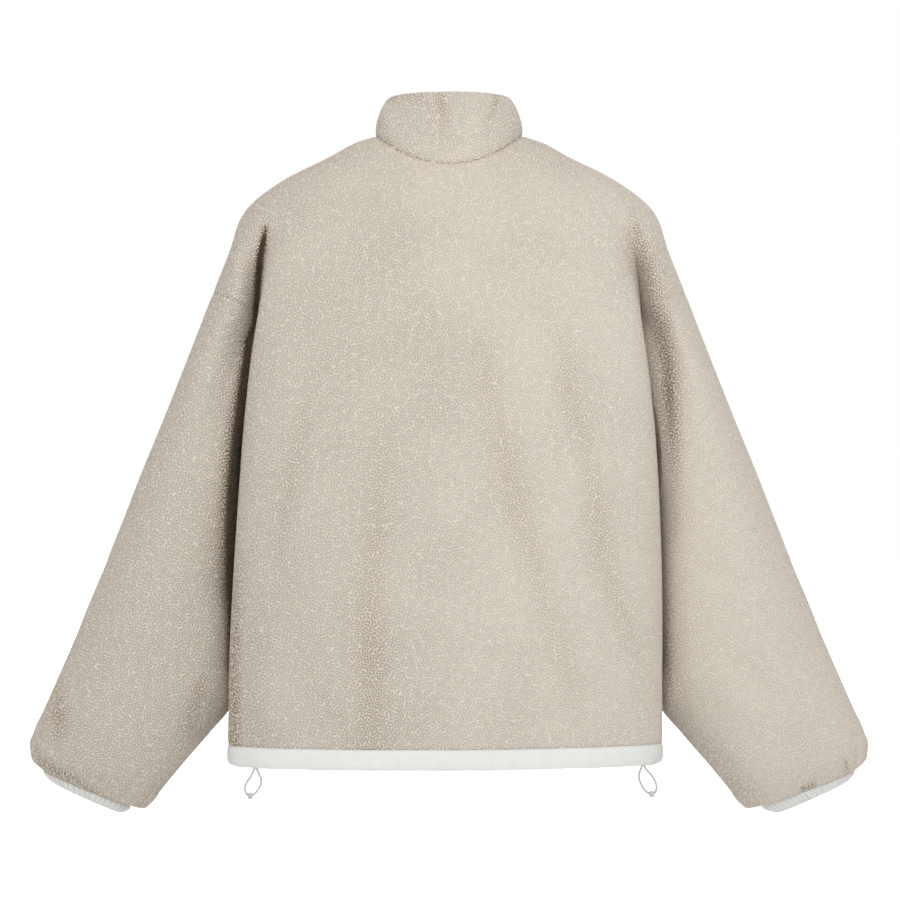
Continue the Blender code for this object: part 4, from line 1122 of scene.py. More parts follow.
def puckered(grid, side):
    """Draws short grooves into the end of a sleeve."""
    turn = all_round(grid.shape[1])
    at = sleeve_cuts()
    inward = unit(grid.mean(axis=1, keepdims=True) - grid)
    for pucker in PUCKERS[side]:
        apart = np.abs((turn - pucker.turn + math.pi) % (2 * math.pi) - math.pi)
        across = np.exp(-((apart / pucker.width) ** 2))
        down = ease((at - pucker.start) / (PUCKER_DEEPEST - pucker.start))
        down = down * (1 - PUCKER_LOST * ease((at - PUCKER_DEEPEST) / (1 - PUCKER_DEEPEST)))
        grid = grid + inward * (pucker.depth * down[:, None] * across[None])[..., None]
    return grid


def banded(table, steps):
    """The rows of a band in finer steps, closer together near its two edges."""
    places = 0.5 - 0.5 * np.cos(np.linspace(0.0, math.pi, steps + 1))
    curves = [through(column(table, "down"), column(table, name), places) for name in Band._fields[1:]]
    return tuple(Band(*map(float, row)) for row in zip(places, *curves))


HEM_FINE = banded(HEM_ROWS, 12)
COLLAR_FINE = banded(COLLAR_ROWS, 22)
CUFF_FINE = banded(CUFF_ROWS, 14)

# The gathers of a cuff: how wide and how high they are, how full their tops, how deep the grooves
# between them, and how much shade is painted into these by the sleeve, which fades towards the cuff's
# edge.
GATHER_WIDTH = (3.4, 6.4)
GATHER_HEIGHT = (0.5, 1.0)
GATHER_FULLNESS = 0.7
GATHER_DEPTH = 2.6
GATHER_SHADE = {"left": 0.6, "right": 0.3}
GATHER_SHADE_FADE = 0.75
GATHER_SEED = {"left": 11, "right": 12}


def gathers(reach, side):
    """Rounded gathers of uneven width round a cuff, from 0 in a groove to 1 on a ridge."""
    dice = np.random.default_rng(GATHER_SEED[side])
    widths = dice.uniform(*GATHER_WIDTH, int(reach[-1] / np.mean(GATHER_WIDTH)))
    widths *= reach[-1] / widths.sum()
    edges = np.concatenate([[0.0], np.cumsum(widths)])
    place = np.clip(np.searchsorted(edges, reach, side="right") - 1, 0, len(widths) - 1)
    share = np.clip((reach - edges[place]) / widths[place], 0.0, 1.0)
    height = dice.uniform(*GATHER_HEIGHT, len(widths))
    return height[place] * np.sin(math.pi * share) ** GATHER_FULLNESS


# Materials ---------------------------------------------------------------------------------------


def put(tree, kind, inputs=None, **settings):
    """One shader node, with its settings, and its inputs as values or as sockets to link."""
    made = tree.nodes.new(kind)
    for name, value in settings.items():
        setattr(made, name, value)
    for name, value in (inputs or {}).items():
        if isinstance(value, bpy.types.NodeSocket):
            tree.links.new(value, made.inputs[name])
        else:
            made.inputs[name].default_value = value
    return made


def sums(tree, operation, *values):
    return put(tree, "ShaderNodeMath", dict(enumerate(values)), operation=operation).outputs[0]


def plus(tree, first, second):
    return sums(tree, "ADD", first, second)


def times(tree, first, second):
    return sums(tree, "MULTIPLY", first, second)


def noise(tree, where, scale, detail, **inputs):
    return put(tree, "ShaderNodeTexNoise", {"Vector": where, "Scale": scale, "Detail": detail, **inputs})


def spread(tree, value, low, high, to_low, to_high, smooth=True):
    """A value moved from one range to another, held at the ends."""
    inputs = {0: value, 1: low, 2: high, 3: to_low, 4: to_high}
    kind = "SMOOTHSTEP" if smooth else "LINEAR"
    return put(tree, "ShaderNodeMapRange", inputs, interpolation_type=kind).outputs[0]


def blended(tree, share, first, second):
    inputs = {0: share, 6: first, 7: second}
    return put(tree, "ShaderNodeMix", inputs, data_type="RGBA").outputs[2]


def new_group(name, inputs, outputs):
    """An empty shader node group with its sockets, and its input and output nodes' sockets."""
    group = bpy.data.node_groups.new(name, "ShaderNodeTree")
    for way, sockets in (("INPUT", inputs), ("OUTPUT", outputs)):
        for label, kind in sockets:
            group.interface.new_socket(label, in_out=way, socket_type="NodeSocket" + kind)
    given, out = group.nodes.new("NodeGroupInput"), group.nodes.new("NodeGroupOutput")
    return group, given.outputs, out.inputs


# The nap is a sum of even waves that run every way at nearly one wavelength, which gives curled
# tufts of one width. A slow stray bends them. CURL_PHASE is how far each wave starts after the last,
# and CURL_RANGE how much of the sum's usual reach the height of the tufts covers.
CURL_WAVES = 14
CURL_TILT = 0.45
CURL_STRAY = 0.005
STRAYS_PER_METRE = 130.0
CURL_PHASE = 1.9
CURL_RANGE = 1.3
# From wave to wave, the tilt goes up and down in steps of CURL_TILT_STEP, and the fineness by
# CURL_UNEVEN in steps of CURL_UNEVEN_STEP.
CURL_TILT_STEP = 2.4
CURL_UNEVEN = 0.13
CURL_UNEVEN_STEP = 3.7
# Towards the wearer's left the nap stands higher and its pits take more painted shade, as if the
# light fell from the wearer's right, and it is looser in patches. LOOSE_RANGE is how far from the
# middle this reaches its ends, and LOOSE how high and how shaded the nap is at the two ends.
LOOSER_AND_SHADED_ACROSS = 0.7
PATCHES = 0.45
PATCHES_PER_METRE = 11.0
LOOSE_RANGE = 0.22
LOOSE = (0.62, 1.12)
# What a crease adds to the raised nap and to the painted shade of its pits, by where its pits are
# wholly the brown painted shade, and between which two places it takes on its deepest painted shade.
CREASE_RAISES_AND_SHADES = 0.7
CREASE_SHADES = 0.5
BROWN_SHADE_BY = 0.5
DEEP_SHADE = (0.4, 0.9)


def curl_ways():
    """The way each wave of the nap runs, turned evenly round and tilted in and out of the cloth."""
    step = np.arange(CURL_WAVES)
    turn = math.pi * step / CURL_WAVES
    tilt = CURL_TILT * np.sin(CURL_TILT_STEP * step)
    ways = unit(np.stack([np.cos(turn), tilt, np.sin(turn)], axis=1))
    fineness = 1.0 + CURL_UNEVEN * np.sin(CURL_UNEVEN_STEP * step)
    return ways * fineness[:, None] * 2 * math.pi


def curled(group, where, per_metre):
    """The height of the nap's curled tufts, from 0 in a pit to 1 on a tuft."""
    stray = noise(group, where, STRAYS_PER_METRE, 0.0).outputs["Color"]
    bending = {0: stray, 1: (CURL_STRAY,) * 3, 2: where}
    bent = put(group, "ShaderNodeVectorMath", bending, operation="MULTIPLY_ADD").outputs[0]
    scaled = put(group, "ShaderNodeVectorMath", {0: bent, 3: per_metre}, operation="SCALE").outputs[0]
    total = 0.0
    for step, way in enumerate(curl_ways()):
        along_way = {0: scaled, 1: tuple(way)}
        reach = put(group, "ShaderNodeVectorMath", along_way, operation="DOT_PRODUCT").outputs[1]
        total = plus(group, sums(group, "SINE", plus(group, reach, CURL_PHASE * step)), total)
    loud = CURL_RANGE * math.sqrt(CURL_WAVES / 2)
    return spread(group, total, -loud, loud, 0.0, 1.0)


@functools.cache
def nap_group():
    """Brushed fleece: light curled tufts with painted shade in the pits between them. In creases the
    pits widen and their painted shade deepens and turns brown, and broad brushed patches and the
    wearer's right side show less of it. Deep in a crease the tufts take the painted shade too."""
    group, given, out = new_group(
        "Fleece nap",
        [
            ("Tuft", "Color"), ("Pit", "Color"), ("Tufts per metre", "Float"), ("Depth", "Float"),
            ("Crease", "Float"), ("Crease pit", "Color"), ("Crease depth", "Color"),
        ],
        [("Colour", "Color"), ("Height", "Float")],
    )
    where = put(group, "ShaderNodeTexCoord").outputs["Object"]
    tuft = curled(group, where, given["Tufts per metre"])
    patches = noise(group, where, PATCHES_PER_METRE, 1.0).outputs[0]
    across = put(group, "ShaderNodeSeparateXYZ", {0: where}).outputs[0]
    # Random patches, and painted shade that grows towards the wearer's left.
    loose = plus(group, times(group, patches, PATCHES), times(group, across, LOOSER_AND_SHADED_ACROSS))
    middle = 0.5 * PATCHES
    brushed = spread(group, loose, middle - LOOSE_RANGE, middle + LOOSE_RANGE, *LOOSE)
    crease = given["Crease"]
    # A crease raises the nap's bump and adds to the painted shade of its pits.
    nap_rise_and_shade = plus(group, brushed, times(group, crease, CREASE_RAISES_AND_SHADES))
    nap_shade = plus(group, times(group, given["Depth"], nap_rise_and_shade), times(group, crease, CREASE_SHADES))
    # Painted shade in the pits between the curls, stronger where the nap is looser and in creases.
    pit = times(group, sums(group, "SUBTRACT", 1.0, tuft), sums(group, "MINIMUM", nap_shade, 1.0))
    # Deep in a crease tufts and pits both take the deepest painted shade; the pits turn to brown painted
    # shade sooner.
    deep = spread(group, crease, *DEEP_SHADE, 0.0, 1.0)
    brown = spread(group, crease, 0.0, BROWN_SHADE_BY, 0.0, 1.0)
    light = blended(group, deep, given["Tuft"], given["Crease depth"])
    dark = blended(group, brown, given["Pit"], given["Crease pit"])
    dark = blended(group, deep, dark, given["Crease depth"])
    group.links.new(blended(group, pit, light, dark), out["Colour"])
    group.links.new(times(group, tuft, nap_rise_and_shade), out["Height"])
    return group


# The crinkle of thin cloth: how fine and how jagged it is, the middle of its range, from low to high,
# and how rough the cloth is at those two. A thread stands THREAD_HEIGHT of a crinkle out, and the
# gaps are shaded by GAP_SHADE.
CRINKLES_PER_METRE = 85.0
CRINKLE_JAGGED = 0.55
CRINKLE_RANGE = (0.3, 0.7)
CRINKLE_ROUGHNESS = (0.62, 0.5)
THREAD_HEIGHT = 0.12
GAP_SHADE = 0.35


@functools.cache
def weave_group():
    """Plain weave: threads that cross over and under, the soft crinkle of thin cloth, and painted shade
    in a cuff's grooves and along the hem band's seam.
    """
    group, given, out = new_group(
        "Plain weave",
        [
            ("Thread", "Color"), ("Gap", "Color"), ("Threads per metre", "Float"), ("Crinkle", "Float"),
            ("Crease", "Float"), ("Groove", "Color"),
        ],
        [("Colour", "Color"), ("Height", "Float"), ("Roughness", "Float")],
    )
    where = put(group, "ShaderNodeTexCoord").outputs["Object"]
    apart = put(group, "ShaderNodeSeparateXYZ", {0: where}).outputs
    turns = times(group, given["Threads per metre"], math.pi)
    across = sums(group, "SINE", times(group, plus(group, apart[0], apart[1]), turns))
    down = sums(group, "SINE", times(group, apart[2], turns))
    thread = spread(group, times(group, across, down), -1.0, 1.0, 0.0, 1.0)
    crinkle = noise(group, where, CRINKLES_PER_METRE, 3.0, Roughness=CRINKLE_JAGGED).outputs[0]
    shade = times(group, spread(group, crinkle, *CRINKLE_RANGE, 1.0, 0.0), given["Crinkle"])
    gap = times(group, sums(group, "SUBTRACT", 1.0, thread), GAP_SHADE)
    cloth = blended(group, sums(group, "MAXIMUM", gap, shade), given["Thread"], given["Gap"])
    # Painted shade where a crease is marked: in a cuff's grooves and along the hem band's seam.
    group.links.new(blended(group, given["Crease"], cloth, given["Groove"]), out["Colour"])
    group.links.new(plus(group, times(group, thread, THREAD_HEIGHT), crinkle), out["Height"])
    rough = spread(group, crinkle, *CRINKLE_RANGE, *CRINKLE_ROUGHNESS)
    group.links.new(rough, out["Roughness"])
    return group


# The zip's wear: how long drawn the scratches are, how fine they and the stains are, how rough the
# surface is from the low to the high end of the scratches, and how strong and deep their bump is.
SCRATCH_STRETCH = (1.0, 1.0, 0.06)
SCRATCHES_PER_METRE = 9000.0
CLOUDS_PER_METRE = 420.0
SCRATCH_RANGE = (0.3, 0.7)
SCRATCH_ROUGHNESS = (0.28, 0.5)
SCRATCH_BUMP = 0.15
SCRATCH_DEPTH = 0.1


@functools.cache
def wear_group():
    """Rubbed metal or moulded plastic: fine scratches along the zip and soft cloudy stains."""
    group, given, out = new_group(
        "Rubbed surface",
        [("Clean", "Color"), ("Rubbed", "Color"), ("Scratches per metre", "Float"), ("Amount", "Float")],
        [("Colour", "Color"), ("Height", "Float"), ("Roughness", "Float")],
    )
    where = put(group, "ShaderNodeTexCoord").outputs["Object"]
    stretched = put(group, "ShaderNodeMapping", {"Vector": where, "Scale": SCRATCH_STRETCH}).outputs[0]
    grain = noise(group, stretched, given["Scratches per metre"], 3.0).outputs[0]
    clouds = noise(group, where, CLOUDS_PER_METRE, 2.0).outputs[0]
    mask = times(group, times(group, grain, clouds), given["Amount"])
    group.links.new(blended(group, mask, given["Clean"], given["Rubbed"]), out["Colour"])
    group.links.new(grain, out["Height"])
    rough = spread(group, grain, *SCRATCH_RANGE, *SCRATCH_ROUGHNESS, False)
    group.links.new(rough, out["Roughness"])
    return group


# Cloth has a warm sheen and hardly any gloss.
SHEEN_TINT = (1.0, 0.86, 0.72, 1.0)
DULL = 0.12
FLEECE_ROUGHNESS = 0.95
FLEECE_SHEEN_ROUGHNESS = 0.6
HARD_ROUGHNESS = 0.35


def new_material(name, roughness, sheen=0.0, sheen_roughness=0.5, metallic=0.0):
    """A material with its Principled shader: cloth if it has a sheen, and hard if not."""
    material = bpy.data.materials.new(name)
    material.use_nodes = True
    shader = material.node_tree.nodes["Principled BSDF"]
    shader.inputs["Roughness"].default_value = roughness
    shader.inputs["Metallic"].default_value = metallic
    shader.inputs["Sheen Weight"].default_value = sheen
    shader.inputs["Sheen Tint"].default_value = SHEEN_TINT
    shader.inputs["Sheen Roughness"].default_value = sheen_roughness
    if sheen:
        shader.inputs["Specular IOR Level"].default_value = DULL
    return material, material.node_tree, shader


def finished(tree, shader, group, inputs, strength, distance):
    """Places a surface group in a material, and feeds the shader from what the group puts out."""
    surface = put(tree, "ShaderNodeGroup", None, node_tree=group)
    for name, value in inputs.items():
        surface.inputs[name].default_value = value
    given = surface.outputs
    tree.links.new(given["Colour"], shader.inputs["Base Color"])
    relief = {"Height": given["Height"], "Strength": strength, "Distance": distance}
    tree.links.new(put(tree, "ShaderNodeBump", relief).outputs[0], shader.inputs["Normal"])
    if "Roughness" in given:
        tree.links.new(given["Roughness"], shader.inputs["Roughness"])
    return surface


CREASE = "crease"


def feed_crease(tree, surface):
    """Passes on how much crease shade is painted at each place."""
    crease = put(tree, "ShaderNodeAttribute", None, attribute_name=CREASE)
    tree.links.new(crease.outputs["Fac"], surface.inputs["Crease"])


def solid(colour):
    return (*colour, 1.0)


@functools.cache
def fleece():
    look = bpy.context.scene.jacket_fleece
    material, tree, shader = new_material(
        "fleece", FLEECE_ROUGHNESS, look.sheen, FLEECE_SHEEN_ROUGHNESS
    )
    inputs = {
        "Tuft": solid(look.tuft),
        "Pit": solid(look.pit),
        "Tufts per metre": look.tufts,
        "Depth": look.pit_shade_depth,
        "Crease pit": solid(look.crease_pit_shade),
        "Crease depth": solid(look.crease_deep_shade),
    }
    feed_crease(tree, finished(tree, shader, nap_group(), inputs, 1.0, look.nap_height * MM))
    return material


# The woven finishes: which colour of the trim they have, how much of the crinkle shows, how many
# threads there are to the metre, how rough they are and how far they stand out.
Weave = namedtuple("Weave", "colour crinkle threads roughness height")
WEAVES = {
    "hem_cloth": Weave("cloth", 0.3, 1700.0, 0.55, 0.4),
    "cuff_cloth": Weave("cloth", 0.25, 1700.0, 0.55, 0.4),
    "zip_tape_cloth": Weave("cloth", 0.2, 1400.0, 0.55, 0.4),
    "sewing_thread": Weave("cloth", 0.3, 2600.0, 0.55, 0.4),
    "elastic_cord": Weave("cord", 0.3, 2600.0, 0.6, 0.2),
}
WEAVE_SHEEN = 0.1
WEAVE_BUMP = 0.6


@functools.cache
def woven(name):
    look, weave = bpy.context.scene.jacket_trim, WEAVES[name]
    material, tree, shader = new_material(name, weave.roughness, WEAVE_SHEEN)
    inputs = {
        "Thread": solid(getattr(look, weave.colour)),
        "Gap": solid(getattr(look, weave.colour + "_gap")),
        "Threads per metre": weave.threads,
        "Crinkle": weave.crinkle,
        # Painted shade for a cuff's grooves and the hem band's seam.
        "Groove": solid(look.cloth_groove_shade),
    }
    feed_crease(tree, finished(tree, shader, weave_group(), inputs, WEAVE_BUMP, weave.height * MM))
    return material


@functools.cache
def hard(name, clean, rubbed, metallic, amount):
    """The zip's metal or plastic, rubbed by use."""
    material, tree, shader = new_material(name, HARD_ROUGHNESS, metallic=metallic)
    inputs = {
        "Clean": solid(clean),
        "Rubbed": solid(rubbed),
        "Scratches per metre": SCRATCHES_PER_METRE,
        "Amount": amount,
    }
    finished(tree, shader, wear_group(), inputs, SCRATCH_BUMP, SCRATCH_DEPTH * MM)
    return material


# How much of the rubbed colour shows on each.
METAL_WEAR, PLASTIC_WEAR = 0.8, 0.6


def zip_metal():
    look = bpy.context.scene.jacket_zip
    return hard("zip_metal", tuple(look.metal), tuple(look.metal_rubbed), 1.0, METAL_WEAR)


def zip_plastic():
    look = bpy.context.scene.jacket_zip
    return hard("zip_plastic", tuple(look.teeth), tuple(look.teeth_rubbed), 0.0, PLASTIC_WEAR)


# Pieces ------------------------------------------------------------------------------------------

SHARP_EDGE = math.radians(50)


def add_piece(name, points, faces, material, nodes=(), body="jacket"):
    """A visible piece that rides on a body of the frame and stands for its nodes."""
    mesh = bpy.data.meshes.new(name)
    faces = faces.tolist() if isinstance(faces, np.ndarray) else faces
    mesh.from_pydata((np.asarray(points) * MM).tolist(), [], faces)
    mesh.update()
    mesh.polygons.foreach_set("use_smooth", np.ones(len(mesh.polygons), bool))
    mesh.set_sharp_from_angle(angle=SHARP_EDGE)
    mesh.materials.append(material)
    piece = bpy.data.objects.new(name, mesh)
    bpy.context.scene.collection.objects.link(piece)
    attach(piece, body)
    if nodes:
        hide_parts(*nodes)
    return piece


# The cut of what shows of each cloth piece, in metres and square metres.
Cut = namedtuple("Cut", "width length area held rests_on")


def add_shell(name, material):
    points, faces, crease = jacket_skin()[0].walled(name)
    shell = add_piece(name + "_shell", points, faces, material, (name,))
    # Each point keeps how much crease shade is painted there.
    shell.data.attributes.new(CREASE, "FLOAT", "POINT").data.foreach_set("value", crease)
    return shell


TOOTH_PITCH = 2.6
# A tooth from its tip past the centre line to its root on the tape: how far across, and half its
# height and depth.
TOOTH = (
    (-0.60, 0.28, 0.85), (-0.35, 0.50, 1.05), (0.25, 0.52, 1.1), (0.95, 0.40, 1.1),
    (2.20, 0.60, 1.1),
)
TOOTH_CORNER = 0.3
# How far the first and the last tooth stay from the ends of the chain.
FIRST_TOOTH, LAST_TOOTH = 0.8, 0.7
TEETH_BELOW_SLIDER = 2.0


def tooth_shape():
    rings = []
    for across, high, deep in TOOTH:
        corner = TOOTH_CORNER * high
        quarter = [(high, deep - corner), (high - corner, deep)]
        lower = [(-up, out) for up, out in reversed(quarter)]
        outline = quarter + lower + [(-up, -out) for up, out in quarter + lower]
        rings.append(np.array([(across, out, up) for up, out in outline]))
    return stacked(rings)


def copied(shape, places, acrosses, outs, ups):
    """One mesh of many copies of a shape, each turned to its own place."""
    points, faces = shape
    made, cells = [], []
    for place, across, out, up in zip(places, acrosses, outs, ups):
        start = len(made) * len(points)
        made.append(place + points @ np.array([across, out, up]))
        cells += [[start + k for k in face] for face in faces]
    return np.vstack(made), cells


def add_teeth(line, out, low, high):
    """Two rows of moulded teeth that mesh along the centre line."""
    for side, sign, first in (("left", 1, 0.0), ("right", -1, TOOTH_PITCH / 2)):
        wanted = np.arange(low + FIRST_TOOTH + first, high - LAST_TOOTH, TOOTH_PITCH)
        places = interpolated(line, line, wanted)
        outs = unit(interpolated(line, out, wanted))
        acrosses = np.tile((float(sign), 0.0, 0.0), (len(wanted), 1))
        ups = np.cross(outs, (-1.0, 0.0, 0.0))
        places = swayed(places - outs * 0.5 * sum(CHAIN_DEPTH))
        points, faces = copied(tooth_shape(), places, acrosses, outs, ups)
        if sign < 0:
            faces = [face[::-1] for face in faces]
        nodes = ("zip_chain",) if side == "left" else ()
        add_piece("zip_teeth_" + side, points, faces, zip_plastic(), nodes)


def add_tapes(line, out, length):
    """The woven tapes on the two sides of the teeth, from the zip's box to its top."""
    above_box = between(line, out, ZIP_BOX_LENGTH + SEAM_GAP, length - TAPE_BELOW_TOP)
    for side, sign in (("left", 1), ("right", -1)):
        reach = (TAPE_REACH[0] * sign, TAPE_REACH[1] * sign)
        points, faces = strip(*above_box, reach, TAPE_DEPTH)
        name = "zip_tape_" + side
        tape = add_piece(name + "_cloth", points, faces, woven("zip_tape_cloth"), (name,))


STITCH_LENGTH = 2.5
STITCH_PITCH = 3.3
STITCH_RADIUS = 0.28
STITCH_SIDES = 6
STITCH_FROM_EDGE = 4.5
STITCH_FROM_END = 3.0
# A stitch from end to end: the place along its half length, its height and its thickness.
STITCH = ((-1.0, -0.3, 0.8), (-0.7, 0.09, 1.0), (0.0, 0.18, 1.1), (0.7, 0.09, 1.0), (1.0, -0.3, 0.8))
# The points from the edge among which the line of stitches is looked for.
NEAR_EDGE = 14


def stitch_shape():
    """One stitch: a thread that comes up out of the cloth, runs along it and goes down again."""
    turn = all_round(STITCH_SIDES)
    rings = []
    for place, height, size in STITCH:
        x, y = STITCH_RADIUS * size * np.cos(turn), STITCH_RADIUS * size * np.sin(turn)
        z = np.full(STITCH_SIDES, place * STITCH_LENGTH / 2)
        rings.append(np.stack([x, y + height, z], axis=1))
    return stacked(rings)


def add_topstitch(side):
    """A row of stitches beside the zip, up the front and the collar."""
    skin = jacket_skin()[0]
    lines, ways = [], []
    front = skin.grids["front_" + side]
    collar = skin.grids["collar"]
    edge = collar[:, ::-1] if side == "left" else collar
    for row in [*front, *edge[1:]]:
        row = row[row >= 0][:NEAR_EDGE]
        lines.append(interpolated(skin.points[row], skin.points[row], [STITCH_FROM_EDGE])[0])
        ways.append(interpolated(skin.points[row], skin.ways[row], [STITCH_FROM_EDGE])[0])
    line, ways = np.array(lines), unit(np.array(ways))
    total = float(step_lengths(line).sum())
    wanted = np.arange(STITCH_FROM_END, total - STITCH_FROM_END, STITCH_PITCH)
    places, outs = interpolated(line, line, wanted), unit(interpolated(line, ways, wanted))
    ups = unit(interpolated(line, line, wanted + 0.5) - interpolated(line, line, wanted - 0.5))
    acrosses = unit(np.cross(outs, ups))
    outs = np.cross(ups, acrosses)
    points, faces = copied(stitch_shape(), places, acrosses, outs, ups)
    add_piece("topstitch_" + side, points, faces, woven("sewing_thread"))


# How finely a cord is cut: round it, along it, from point to point of its path, and in a coarser
# copy of its path.
CORD_SIDES = 20
CORD_STEPS = 240
PATH_STEPS = 8
STATED_STEPS = 26
# The braid: how high its strands stand, how many there are each way, and their turn from step to step.
BRAID_HEIGHT = 0.05
BRAID_STRANDS = 4
BRAID_TURN = 0.9
# Where the two ends of a cord go on, sideways and up, into the hem band.
INTO_HEM = (0.4, 1.1)
CORD_BELOW_HEM = 0.3
CORD_INSIDE_SKIN = 1.0


def loop_path(side, hem):
    start = hem_exit(side, hem)
    path = [start + np.array([across, 0.0, -down]) for across, down in LOOP_PATHS[side]]
    return smooth_path(path)


def hem_exit(side, hem):
    """Where a loop leaves the hem band: just under its lower edge, in the middle of the wall."""
    x = LOOP_X[side]
    behind = hem[-1, : BACK_STEPS + 1]
    y = float(np.interp(abs(x), behind[:, 0], behind[:, 1])) - CORD_INSIDE_SKIN
    z = float(behind[0, 2]) - CORD_BELOW_HEM - SEAM_GAP
    return swayed([(x, y, z)])[0]


def smooth_path(points):
    """A smooth curve through the points, in even steps from each to the next."""
    points = np.array(points, float)
    ends = np.vstack([2 * points[0] - points[1], points, 2 * points[-1] - points[-2]])
    curve = []
    for k in range(len(points) - 1):
        a, b, c, d = ends[k : k + 4]
        for t in np.linspace(0, 1, PATH_STEPS, endpoint=False):
            curved = (2 * a - 5 * b + 4 * c - d) * t**2 + (3 * b - a - 3 * c + d) * t**3
            curve.append(0.5 * (2 * b + (c - a) * t + curved))
    return np.array(curve + [points[-1]])


def add_loop(side, hem):
    """A loop of thin round elastic under the hem, with a small tube closed round its lowest point."""
    path = loop_path(side, hem)
    across, up = INTO_HEM
    first, last = path[0] + (-across, 0.0, up), path[-1] + (across, 0.0, up)
    path = evenly(np.vstack([first, path, last]), CORD_STEPS)
    run = unit(np.gradient(path, axis=0))
    points, faces = stacked(braided(path, run)[::-1])
    name = "drawcord_" + side
    cord = add_piece(name + "_elastic", points, faces, woven("elastic_cord"), (name,))
    lowest = int(np.argmin(path[:, 2]))
    clip = add_clip(side, path[lowest], run[lowest])
    stated = evenly(loop_path(side, hem), STATED_STEPS) * MM


def braided(path, run):
    """Rings round a cord's path, ridged by strands that cross one another."""
    front = np.array([0.0, 1.0, 0.0])
    turn = all_round(CORD_SIDES)
    rings = []
    for step, (place, way) in enumerate(zip(path, run)):
        beside = np.cross(way, front)
        strands, shift = BRAID_STRANDS * turn, BRAID_TURN * step
        braid = BRAID_HEIGHT * np.cos(strands + shift) * np.cos(strands - shift)
        radius = CORD_DIAMETER / 2 * (1 - BRAID_HEIGHT / 2 + braid)
        ring = np.outer(np.cos(turn) * radius, beside) + np.outer(np.sin(turn) * radius, front)
        rings.append(place + ring)
    return rings


# How finely a clip is cut, and how far its edges are rounded, outside and inside.
CLIP_SIDES = 32
CLIP_OUTER_EDGE = 0.4
CLIP_INNER_EDGE = 0.1


def add_clip(side, place, way):
    """A small tube round the two strands of a loop, with softened edges."""
    beside = np.cross(way, (0.0, 1.0, 0.0))
    turn = all_round(CLIP_SIDES)
    circle = np.outer(np.cos(turn), beside) + np.outer(np.sin(turn), (0.0, 1.0, 0.0))
    thin, wide = CLIP_RADII
    half = CLIP_LENGTH / 2
    edge = (
        (wide, half - CLIP_OUTER_EDGE),
        (wide - 0.25 * CLIP_OUTER_EDGE, half - 0.3 * CLIP_OUTER_EDGE),
        (wide - CLIP_OUTER_EDGE, half),
        (thin, half - CLIP_INNER_EDGE),
    )
    profile = [(radius, -up) for radius, up in reversed(edge[:3])] + list(edge)
    profile.append((thin, CLIP_INNER_EDGE - half))
    points, faces = ringed([place + circle * radius + way * up for radius, up in profile])
    name = "cord_clip_" + side
    return add_piece(name + "_tube", points, faces, woven("elastic_cord"), (name,))


# The parts of the zip that come from the frame, and how far the edges of each are rounded. An edge
# is rounded where its two faces turn by more than ROUNDED_FROM.
ROUNDED = {
    "zip_stop_left": 0.3,
    "zip_stop_right": 0.3,
    "zip_box": 0.5,
    "zip_slider": 0.2,
    "zip_pull": 0.3,
}
ROUNDED_FROM = math.radians(35)


def finish_node(name, rounding):
    """Gives a metal part of the frame its finish and rounded edges."""
    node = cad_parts[name]
    node.data.materials.clear()
    node.data.materials.append(zip_metal())
    bevel = node.modifiers.new("edges", "BEVEL")
    bevel.width = rounding * MM
    bevel.segments = 3
    bevel.limit_method = "ANGLE"
    bevel.angle_limit = ROUNDED_FROM


# Stage -------------------------------------------------------------------------------------------

CAMERA_PLACE = (-0.001, 4.5, -0.3287)
CAMERA_LENS, CAMERA_SENSOR = 171.4, 36.0
CAMERA_REACH = 100.0
FLOOR_HEIGHT = -0.80
FLOOR_HALF_WIDTH = 14.0
WHITE = (1.0, 1.0, 1.0, 1.0)
FLOOR_COLOUR = (0.9, 0.9, 0.9, 1.0)
# The two soft lights, square, aimed at the middle of the jacket.
KEY_PLACE = (0.35, 3.46, 0.95)
TOP_PLACE = (-0.6, 2.3, 2.4)
LIGHT_WIDTH = 1.2
LIT_PLACE = (0.0, 0.0, -0.35)


def white_when_seen(tree, strength, socket):
    """Full strength for what the camera sees, and the given strength for the light that it adds."""
    seen = put(tree, "ShaderNodeLightPath").outputs["Is Camera Ray"]
    tree.links.new(spread(tree, seen, 0.0, 1.0, strength, 1.0, False), socket)


def add_floor(glow):
    mesh = bpy.data.meshes.new("floor")
    corners = ((-1, -1), (1, -1), (1, 1), (-1, 1))
    points = [(x * FLOOR_HALF_WIDTH, y * FLOOR_HALF_WIDTH, FLOOR_HEIGHT) for x, y in corners]
    mesh.from_pydata(points, [], [(0, 1, 2, 3)])
    floor = bpy.data.objects.new("floor", mesh)
    bpy.context.scene.collection.objects.link(floor)
    material = bpy.data.materials.new("floor")
    material.use_nodes = True
    shader = material.node_tree.nodes["Principled BSDF"]
    shader.inputs["Base Color"].default_value = FLOOR_COLOUR
    shader.inputs["Roughness"].default_value = 1.0
    shader.inputs["Emission Color"].default_value = WHITE
    white_when_seen(material.node_tree, glow, shader.inputs["Emission Strength"])
    mesh.materials.append(material)


def add_surround(strength):
    world = bpy.data.worlds.new("surround")
    world.use_nodes = True
    background = world.node_tree.nodes["Background"]
    background.inputs["Color"].default_value = WHITE
    white_when_seen(world.node_tree, strength, background.inputs["Strength"])
    bpy.context.scene.world = world


def add_light(name, place, power):
    light = bpy.data.lights.new(name, "AREA")
    light.size = LIGHT_WIDTH
    light.energy = power
    lamp = bpy.data.objects.new(name, light)
    lamp.location = place
    aim = Vector(LIT_PLACE) - Vector(place)
    lamp.rotation_euler = aim.to_track_quat("-Z", "Y").to_euler()
    bpy.context.scene.collection.objects.link(lamp)


